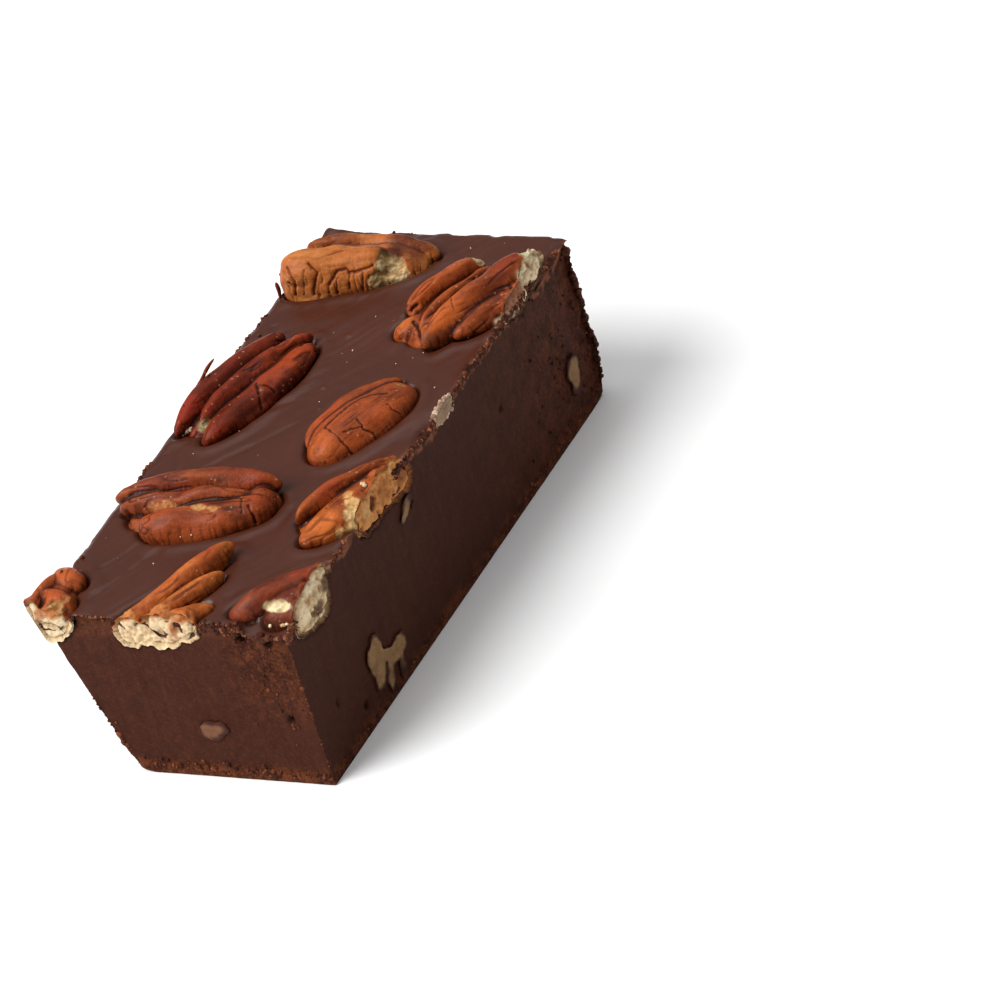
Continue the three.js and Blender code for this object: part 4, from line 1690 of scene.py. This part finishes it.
        no_nut = np.full(len(points), self.NO_NUT)
        gaps, smears = no_nut, no_nut
        for hold in holds:
            if hold.smeared:
                held = np.where(hold.beside(points), self.NO_NUT, hold.distances(points, no_nut))
                smears = np.minimum(smears, held)
            else:
                gaps = hold.distances(points, gaps)
        outside = np.maximum(gaps, 0.0)
        swell = 0.3 * bell(outside - 1.7, 1.3) - 0.75 * bell(outside, 0.42)
        sunk = np.minimum(2.2, np.maximum(0.0, -gaps - 0.25) * 1.6)
        points[:, 2] += np.where(top, np.where(gaps > 0.0, swell, -0.75 - sunk), 0.0)

        relief, region = self.face_relief(points, grid, gaps)
        recess = np.minimum(2.3, 2.6 * np.maximum(0.0, -gaps - 0.1)) + 0.25 * bell(outside, 0.3)
        recess = np.maximum(recess, np.minimum(1.5, 1.4 * np.maximum(0.0, -smears - 0.15)))
        inward = np.maximum(0.0, relief) + np.where(top, 0.0, recess) + self.SIDE_INSET
        above = ease(0.4, 2.5, z)
        straight, rounded = inward * np.maximum(above, 0.15), inward * above
        points[:, 0] += np.where(left, rounded, 0.0) - np.where(right, straight, 0.0)
        points[:, 1] += np.where(front, straight, 0.0) - np.where(far, rounded, 0.0)
        region["gap"] = gaps
        return points, region

    def rim_notches(self, x: Array, y: Array, u: Array, v: Array) -> Array:
        """How far the top drops at its rims, where it is rounded or ragged."""
        flat = np.stack([x, y, np.full(len(x), HEIGHT)], 1)
        from_left, from_right = (share * 2.0 * HALF_WIDTH for share in (u, 1.0 - u))
        from_front, from_far = (share * 2.0 * HALF_LENGTH for share in (v, 1.0 - v))
        ragged = np.maximum(0.0, self.RIM_TEARS.at(flat))
        drop = (0.25 + 1.1 * ragged) * bell(from_right, 0.7)
        stations, rises = np.array(self.RIM_PROFILE).T
        drop -= np.interp(y, stations, rises) * bell(from_right, 1.6)
        drop += (0.5 + 0.9 * ragged) * bell(from_left, 0.9)
        drop += (0.2 + 0.4 * ragged) * bell(from_front, 0.5)
        drop += (0.3 + 0.8 * ragged) * bell(from_far, 0.8)
        return drop

    def face_relief(self, points: Array, grid: Array, gaps: Array) -> tuple[Array, dict[str, Array]]:
        """How far each side's surface lies behind its plane, and what it looks like.

        Args:
            points: The vertices in mm.
            grid: Their shares across, along and up.
            gaps: Their distance to the nearest nut.

        Returns:
            The depth in mm, and the shares of crumbly and smooth surface.
        """
        u, v, _ = grid.T
        x, y, z = points.T
        right, left, front, far = u == 1.0, u == 0.0, v == 0.0, v == 1.0
        crumbly = np.zeros(len(points))
        crumbly = np.where(right, ease(5.0, 52.0, y) * 0.6 + 0.1, crumbly)
        crumbly = np.where(right, np.maximum(crumbly, 0.9 * ease(3.0, 0.4, z)), crumbly)
        crumbly = np.where(left, 0.55, crumbly)
        corner = ease(8.0, 16.0, x) * ease(8.0, 22.0, z)
        crumbly = np.where(front, 0.14 + 0.8 * corner + 0.8 * ease(4.0, 1.2, z), crumbly)
        crumbly = np.where(far, 1.0, crumbly)
        band = front * ease(26.5, 28.5, z) * ease(-7.0, -8.5, x) * ease(-20.5, -19.0, x)
        crumbly = np.clip(np.maximum(crumbly, 0.8 * band), 0.0, 1.0)
        near, _, own = self.CRUMBLE.at(points)
        small, _, small_own = self.FINE_CRUMBLE.at(points)
        grains = 0.4 * np.clip(near, 0.0, 1.0) + 0.2 * np.clip(small, 0.0, 1.0) + 0.2 * own
        grains += 0.35 * (1.0 + self.CRUMBLE_LUMPS.at(points))
        fibres, waves = self.FIBRES.at(points), self.CUT_WAVES.at(points)
        depth = crumbly * self.CRUMBLE_DEPTH * grains + self.FIBRE_DEPTH * (2.0 + fibres + waves)
        depth += 0.5 * band * ease(26.5, 31.0, z)
        lumps, _, lumps_own = self.FAR_CRUMBLE.at(points)
        far_share = np.where(far, 1.0, ease(43.0, 54.0, y) * (right | left))
        depth += far_share * (0.55 * np.clip(lumps, 0.0, 1.0) + 0.5 * lumps_own)
        pits = self.pits(points)
        region = {
            "crumbly": crumbly, "grain": near, "own": own, "small": small_own, "fibres": fibres,
            "pits": pits, "band": band.astype(float),
        }
        return depth + pits, region

    def pits(self, points: Array) -> Array:
        """Small round holes in the cut faces, by their depth in mm."""
        depth = np.zeros(len(points))
        for spot, radius in self.PITS:
            gap = np.linalg.norm(points - np.array(spot), axis=1)
            depth += 1.3 * radius * ease(radius * 1.25, radius * 0.5, gap)
        return depth

    def tint(self, points: Array, grid: Array, region: dict[str, Array]) -> None:
        """Colours the fudge: smooth chocolate, crumbly cuts, rims and streaks, with painted shade in
        pits, hollows and round the nuts, and a straight cut side darkened in part as painted shade.

        Args:
            points: The vertices in mm.
            grid: Their shares across, along and up.
            region: The shares of each kind of surface.
        """
        u, v, w = grid.T
        z = points[:, 2]
        top = w == 1.0
        rust, dark = linear(self.RUST), linear(self.DARK)
        tone = np.where(top[:, None], linear(self.TOP_TONE), linear(self.CUT_TONE))
        # Painted shade, in part: the straight cut side takes its darker tone.
        tone[(u == 1.0) & (v > 0.0) & ~top] = linear(self.RIGHT_TONE)
        streaks = self.STREAK_TINTS.at(self.streak_frame(points))
        streaks = self.streak_share(points) * ease(-0.1, 0.7, streaks)
        tone = blend(tone, linear(self.STREAK_TONE), 0.4 * streaks * top)
        tone = tone * (1.0 + 0.1 * self.CLOUDS.at(points))[:, None]
        patches = ease(0.0, 0.7, self.PATCHES.at(points)) * ~top
        crumbly = region["crumbly"] * ~top
        mottle = ease(-0.35, 0.55, self.MOTTLE.at(points))
        foot = ease(3.2, 1.0, z) * ((u == 1.0) | (v == 0.0))
        ledge = (v == 0.0) * ease(28.0, 29.6, z) * ease(6.5, 8.0, points[:, 0])
        rim = bell((1.0 - u) * 2.0 * HALF_WIDTH, 0.6) * (w > 0.94)
        own, grain, small = region["own"], region["grain"], region["small"]
        layers = (
            (dark, 0.16 * patches),
            (rust, crumbly * (0.35 * mottle + 0.3 * ease(0.45, 0.9, own))),
            # Painted shade: darker where the crumbly surface sinks between its grains.
            (dark, crumbly * 0.35 * ease(0.55, 0.95, grain)),
            (rust, crumbly * 0.6 * ease(0.86, 0.97, small)),
            # Painted shade: darker in the grooves of the fibres, which sink the cut faces.
            (dark, 0.12 * ease(0.1, 0.8, region["fibres"]) * ~top),
            (rust, 0.5 * foot * ease(0.35, 0.7, own)),
            (linear(self.BAND_TONE), 0.5 * region["band"]),
            (linear(self.LEDGE_TONE), 0.7 * ledge * mottle),
            # Painted shade: the pits are darkened.
            (dark * 0.5, np.clip(region["pits"] * 1.2, 0.0, 0.9)),
            # The torn right rim's rusty colour, made lighter in part as a painted highlight along the
            # edge.
            (linear(self.RIM_TONE), 0.75 * rim * ease(0.25, 0.6, own)),
            # Painted shadow: the fudge is darkened where it meets a nut.
            (dark, 0.5 * bell(np.maximum(region["gap"], 0.0), 0.4)),
        )
        for colour, share in layers:
            tone = blend(tone, colour, share)
        paint(self.piece, "tint", tone)
        paint(self.piece, "torn", np.clip(0.9 * crumbly + 0.12 * ~top, 0.0, 1.0))


@dataclass(frozen=True)
class Sprinkle:
    """A line or patch along which crumbs lie.

    line is its corners in mm, spread how far off it a crumb may lie, count how many there
    are, and small and large their size.
    """

    line: tuple[Point, ...]
    count: int
    spread: Point
    small: float
    large: float
    tones: tuple[Colour, ...]
    proud: float = 0.15


@dataclass
class Crumbs:
    """Crumbs of one kind as one joined mesh: a modelled crumb, copied and turned."""

    name: str
    slot: str
    sprinkles: tuple[Sprinkle, ...]
    seed: int

    LUMPS = Pattern(Grain.fractal, 1.4, 5, 2)
    FEW_LARGE = 2.5
    MARGIN = (0.01, 0.08)
    SHADE_ANGLE = 50.0

    def build(self, ground: list[Hold], material: bpy.types.Material) -> Piece:
        """Builds all crumbs of this kind.

        Args:
            ground: The surfaces that a crumb may stick to.
            material: The crumbs' finish.

        Returns:
            The joined piece.
        """
        deselect()
        bpy.ops.mesh.primitive_ico_sphere_add(subdivisions=2, radius=MM)
        model = bpy.context.object
        ball = places(model)
        faces = [tuple(p.vertices) for p in model.data.polygons]
        bpy.data.objects.remove(model)
        draw = np.random.default_rng(self.seed)
        verts, sides, tints = [], [], []
        for sprinkle in self.sprinkles:
            for _ in range(sprinkle.count):
                at, size = self.spot(sprinkle, draw)
                _, at, out = min((hold.nearest(at) for hold in ground), key=lambda found: found[0])
                at = at + out * size * sprinkle.proud
                shape = self.crumb(ball, size, draw) + at
                margin = draw.uniform(*self.MARGIN)
                shape -= np.maximum(0.0, shape.max(0) - BOX_HIGH + margin)
                shape += np.maximum(0.0, BOX_LOW - shape.min(0) + margin)
                base = len(verts) * len(ball)
                verts.append(shape)
                sides.extend(tuple(base + n for n in face) for face in faces)
                tone = linear(sprinkle.tones[draw.integers(len(sprinkle.tones))])
                tints.append(np.tile(tone * draw.uniform(0.8, 1.2), (len(ball), 1)))
        piece = modelled(self.name, np.concatenate(verts), sides)
        paint(piece, "tint", np.concatenate(tints))
        paint(piece, "torn", np.ones(len(verts) * len(ball)))
        piece.data.materials.append(material)
        shade_smooth(piece, self.SHADE_ANGLE)
        settle(piece, self.slot)
        log.info("%s: %d crumbs", self.name, len(verts))
        return piece

    @classmethod
    def spot(cls, sprinkle: Sprinkle, draw: np.random.Generator) -> tuple[Array, float]:
        """Draws where one crumb of a sprinkle lies, and its size."""
        line = np.array(sprinkle.line, float)
        runs = np.linalg.norm(np.diff(line, axis=0), axis=1)
        stretch = draw.choice(len(runs), p=runs / runs.sum()) if len(runs) > 1 else 0
        share = draw.random()
        at = line[stretch] + share * (line[stretch + 1] - line[stretch])
        at = at + draw.normal(0.0, 1.0, 3) * np.array(sprinkle.spread)
        size = sprinkle.small + (sprinkle.large - sprinkle.small) * draw.random() ** cls.FEW_LARGE
        return at, size

    @classmethod
    def crumb(cls, ball: Array, size: float, draw: np.random.Generator) -> Array:
        """One uneven crumb, turned at random, with size its width in mm."""
        lumps = cls.LUMPS.at(ball * 1.7 + draw.uniform(-50.0, 50.0, 3))
        shape = ball * (1.0 + 0.42 * lumps)[:, None] * draw.uniform(0.6, 1.0, 3)
        turn = np.array(Matrix.Rotation(draw.uniform(0.0, 6.3), 3, Vector(draw.normal(0, 1, 3))))
        return shape @ turn.T * size / 2.0


RUST_TONES = ((96, 52, 32), (76, 40, 26), (112, 62, 38), (62, 32, 22))
RIM_TONES = ((138, 84, 58), (112, 64, 42), (92, 50, 33), (76, 40, 28))
FUDGE_TONES = ((68, 35, 25), (60, 31, 22), (76, 41, 29))
SHADE_TONES = ((60, 31, 22), (54, 28, 20), (74, 40, 27))
PALE_TONES = ((206, 176, 140), (188, 152, 112), (220, 200, 168))
DUSTY_TONES = ((176, 146, 124), (150, 120, 98), (196, 172, 150))


def crumb_pieces() -> list[Crumbs]:
    """The fudge crumbs on the rims and feet, and the pale grains of nut."""
    side, front, far = HALF_WIDTH, -HALF_LENGTH, HALF_LENGTH
    rim = HEIGHT - 0.4
    right_rim = ((side, -14, rim), (side, 18, rim), (side, 52, rim))
    front_rim = ((7.5, front, 30.4), (22.5, front, 29.5))
    far_corner, far_face = ((side, far, 3), (side, far, 28)), ((-14, far, 13), (23, far, 13))
    fudge = (
        Sprinkle(right_rim, 300, (0.3, 0.4, 0.3), 0.4, 1.8, FUDGE_TONES, 0.0),
        Sprinkle(right_rim, 900, (0.35, 0.4, 0.35), 0.2, 0.9, RIM_TONES),
        Sprinkle(((side, -38, rim), (side, -33, rim)), 60, (0.3, 0.8, 0.35), 0.2, 0.9, RIM_TONES),
        Sprinkle(((side, -54, 0.7), (side, 46, 0.7)), 420, (0.1, 0.4, 0.5), 0.2, 1.0, RUST_TONES),
        Sprinkle(((-11.5, front, 0.8), (23, front, 0.8)), 330, (0.3, 0.1, 0.9), 0.2, 1.1, RUST_TONES),
        Sprinkle(((-13.5, front, 2.2), (-19, front, 14)), 60, (1.2, 0.1, 1.5), 0.2, 0.6, RUST_TONES),
        Sprinkle(((side, 36, 10), (side, 54, 14)), 130, (0.1, 7.0, 8.0), 0.3, 1.0, SHADE_TONES, 0.0),
        Sprinkle(far_corner, 110, (0.5, 0.9, 0.4), 0.4, 2.2, FUDGE_TONES, 0.0),
        Sprinkle(far_corner, 150, (0.5, 1.2, 0.4), 0.2, 0.8, RUST_TONES),
        Sprinkle(far_face, 420, (2.0, 0.1, 5.5), 0.4, 2.0, FUDGE_TONES, 0.0),
        Sprinkle(far_face, 300, (2.0, 0.1, 5.5), 0.3, 1.0, RUST_TONES),
        Sprinkle(((-23.4, -22, 30), (-23.2, -14, 30)), 50, (0.3, 0.5, 0.8), 0.3, 1.2, RUST_TONES, 0.05),
        Sprinkle(((-23.4, 18, 30), (-23.2, 30, 30)), 60, (0.3, 0.5, 0.8), 0.3, 1.3, RUST_TONES, 0.05),
        Sprinkle(((-22, -48, 20), (-20, 50, 20)), 300, (0.2, 2.0, 7.0), 0.2, 1.0, RUST_TONES),
        Sprinkle(((16, front, 24), (22, front, 16)), 90, (2.4, 0.1, 5.5), 0.2, 0.8, RUST_TONES, 0.0),
        Sprinkle(((-15.6, front, 6.4), (-14.6, front, 5)), 22, (0.5, 0.1, 0.5), 0.6, 1.6,
                 RUST_TONES, 0.3),
        Sprinkle(front_rim, 70, (0.3, 0.4, 0.7), 0.4, 1.6, FUDGE_TONES, 0.0),
        Sprinkle(front_rim, 110, (0.3, 0.4, 0.7), 0.3, 0.9, RIM_TONES, 0.05),
        Sprinkle(((-17, front, 30.6), (-9, front, 30.6)), 60, (0.3, 0.2, 0.25), 0.2, 0.7, RIM_TONES),
        Sprinkle(((side, -55, 29), (side, -51, 29)), 50, (0.2, 0.5, 0.8), 0.3, 1.2, RIM_TONES),
        Sprinkle(((side, -55, 3), (side, -55.2, 28)), 60, (0.15, 0.15, 0.5), 0.2, 0.6, RUST_TONES, 0.0),
    )
    pale = (
        Sprinkle(((-18, -50, HEIGHT), (20, 50, HEIGHT)), 46, (8.0, 12.0, 0.02), 0.15, 0.42, PALE_TONES),
        Sprinkle(((22.4, -21.3, 34.0), (22.2, -21.0, 34.2)), 4, (0.3, 0.3, 0.2), 0.7, 1.2, PALE_TONES),
        Sprinkle(((18.5, -53.0, 29.3), (22.5, -52.4, 29.6)), 9, (0.6, 0.4, 0.1), 0.3, 0.8, PALE_TONES),
        Sprinkle(((-20.8, -5.4, 31.3), (-20.2, -4.6, 31.4)), 16, (0.6, 0.4, 0.2), 0.4, 1.0, DUSTY_TONES),
        Sprinkle(((side, -49.0, 28.5), (side, -43.0, 28.0)), 20, (0.1, 1.5, 1.2), 0.2, 0.8, PALE_TONES),
        Sprinkle(((side, 2.0, 30.2), (side, 7.6, 30.8)), 110, (0.3, 0.7, 0.8), 0.3, 1.3, DUSTY_TONES),
    )
    return [
        Crumbs("fudge_crumbs", "fudge", fudge, 11),
        Crumbs("nut_grains", "nut_kernel", pale, 12),
    ]


@dataclass
class Studio:
    """The floor, the soft light and the camera."""

    azimuth: float = 34.508
    elevation: float = 32.347
    roll: float = -17.441
    eye: Point = (500.75, -681.75, 540.10)
    lens: float = 216.0
    sensor: float = 36.0
    floor_size: float = 6.0
    floor_height: float = -0.00005
    aim_height: float = 0.015

    def build(self) -> None:
        """Builds the floor, the lamps, the surroundings and the camera."""
        self.lay_floor()
        self.light()
        self.aim()
        log.info("studio ready")

    def lay_floor(self) -> None:
        """Lays a plain pale floor under the bar."""
        deselect()
        bpy.ops.mesh.primitive_plane_add(size=self.floor_size, location=(0.0, 0.0, self.floor_height))
        floor = bpy.context.object
        floor.name = "floor"
        material = bpy.data.materials.new("pale_floor")
        material.use_nodes = True
        surface = material.node_tree.nodes["Principled BSDF"]
        dial(surface, {
            "Base Color": (0.9, 0.9, 0.9, 1.0), "Roughness": 0.9, "Specular IOR Level": 0.1,
        })
        floor.data.materials.append(material)

    def lamp(self, name: str, place: Point, size: float, power: float) -> None:
        """Hangs one soft lamp that shines on the bar."""
        data = bpy.data.lights.new(name, "AREA")
        data.shape = "DISK"
        data.size = size
        data.energy = power
        lamp = bpy.data.objects.new(name, data)
        lamp.location = place
        way = Vector((0.0, 0.0, self.aim_height)) - Vector(place)
        lamp.rotation_mode = "QUATERNION"
        lamp.rotation_quaternion = way.to_track_quat("-Z", "Y")
        bpy.context.scene.collection.objects.link(lamp)

    def light(self) -> None:
        """Sets the soft light: a large key from the upper left, and pale surroundings."""
        self.lamp("key", (-1.2, -1.3, 1.9), 2.0, 92.0)
        self.lamp("top", (-0.2, 0.8, 2.6), 2.6, 28.0)
        world = bpy.data.worlds.new("surroundings")
        world.use_nodes = True
        dial(world.node_tree.nodes["Background"], {"Color": (1.0, 1.0, 1.0, 1.0), "Strength": 0.3})
        bpy.context.scene.world = world
        bpy.context.scene.view_settings.view_transform = "Standard"

    def aim(self) -> None:
        """Sets the camera at the picture's viewing angle."""
        data = bpy.data.cameras.new("camera")
        data.sensor_width = self.sensor
        data.lens = self.lens
        data.clip_start, data.clip_end = 0.05, 20.0
        camera = bpy.data.objects.new("camera", data)
        around = Matrix.Rotation(math.radians(self.azimuth), 4, "Z")
        down = Matrix.Rotation(math.radians(90.0 - self.elevation), 4, "X")
        rolled = Matrix.Rotation(math.radians(self.roll), 4, "Z")
        place = Matrix.Translation(Vector(self.eye) * MM)
        camera.matrix_world = place @ around @ down @ rolled
        bpy.context.scene.collection.objects.link(camera)
        bpy.context.scene.camera = camera


def main() -> None:
    """Builds the studio, the nuts, the bar and the crumbs, in that order."""
    logging.basicConfig(level=logging.INFO, format="%(name)s: %(message)s")
    Studio().build()
    nut_material, crumb_material = NUT.make(), CRUMB.make()
    nuts = [*PECANS, *chunks(), *flakes()]
    for nut in nuts:
        nut.build(nut_material)
    holds = [Hold.of(nut.piece, nut.grip, nut.all_kernel) for nut in nuts if nut.is_node]
    bar = Bar()
    bar.build(holds, [CHOCOLATE.make(), CUT_CHOCOLATE.make()])
    bare = [bar.piece] + [nut.piece for nut in nuts if not nut.all_kernel]
    bits = [nut.piece for nut in nuts if nut.all_kernel]
    ground = [Hold.of(piece, places(piece)) for piece in bare + bits]
    dark, pale = crumb_pieces()
    dark.build(ground[:len(bare)], crumb_material)
    pale.build(ground, crumb_material)


if __name__ == "__main__":
    main()
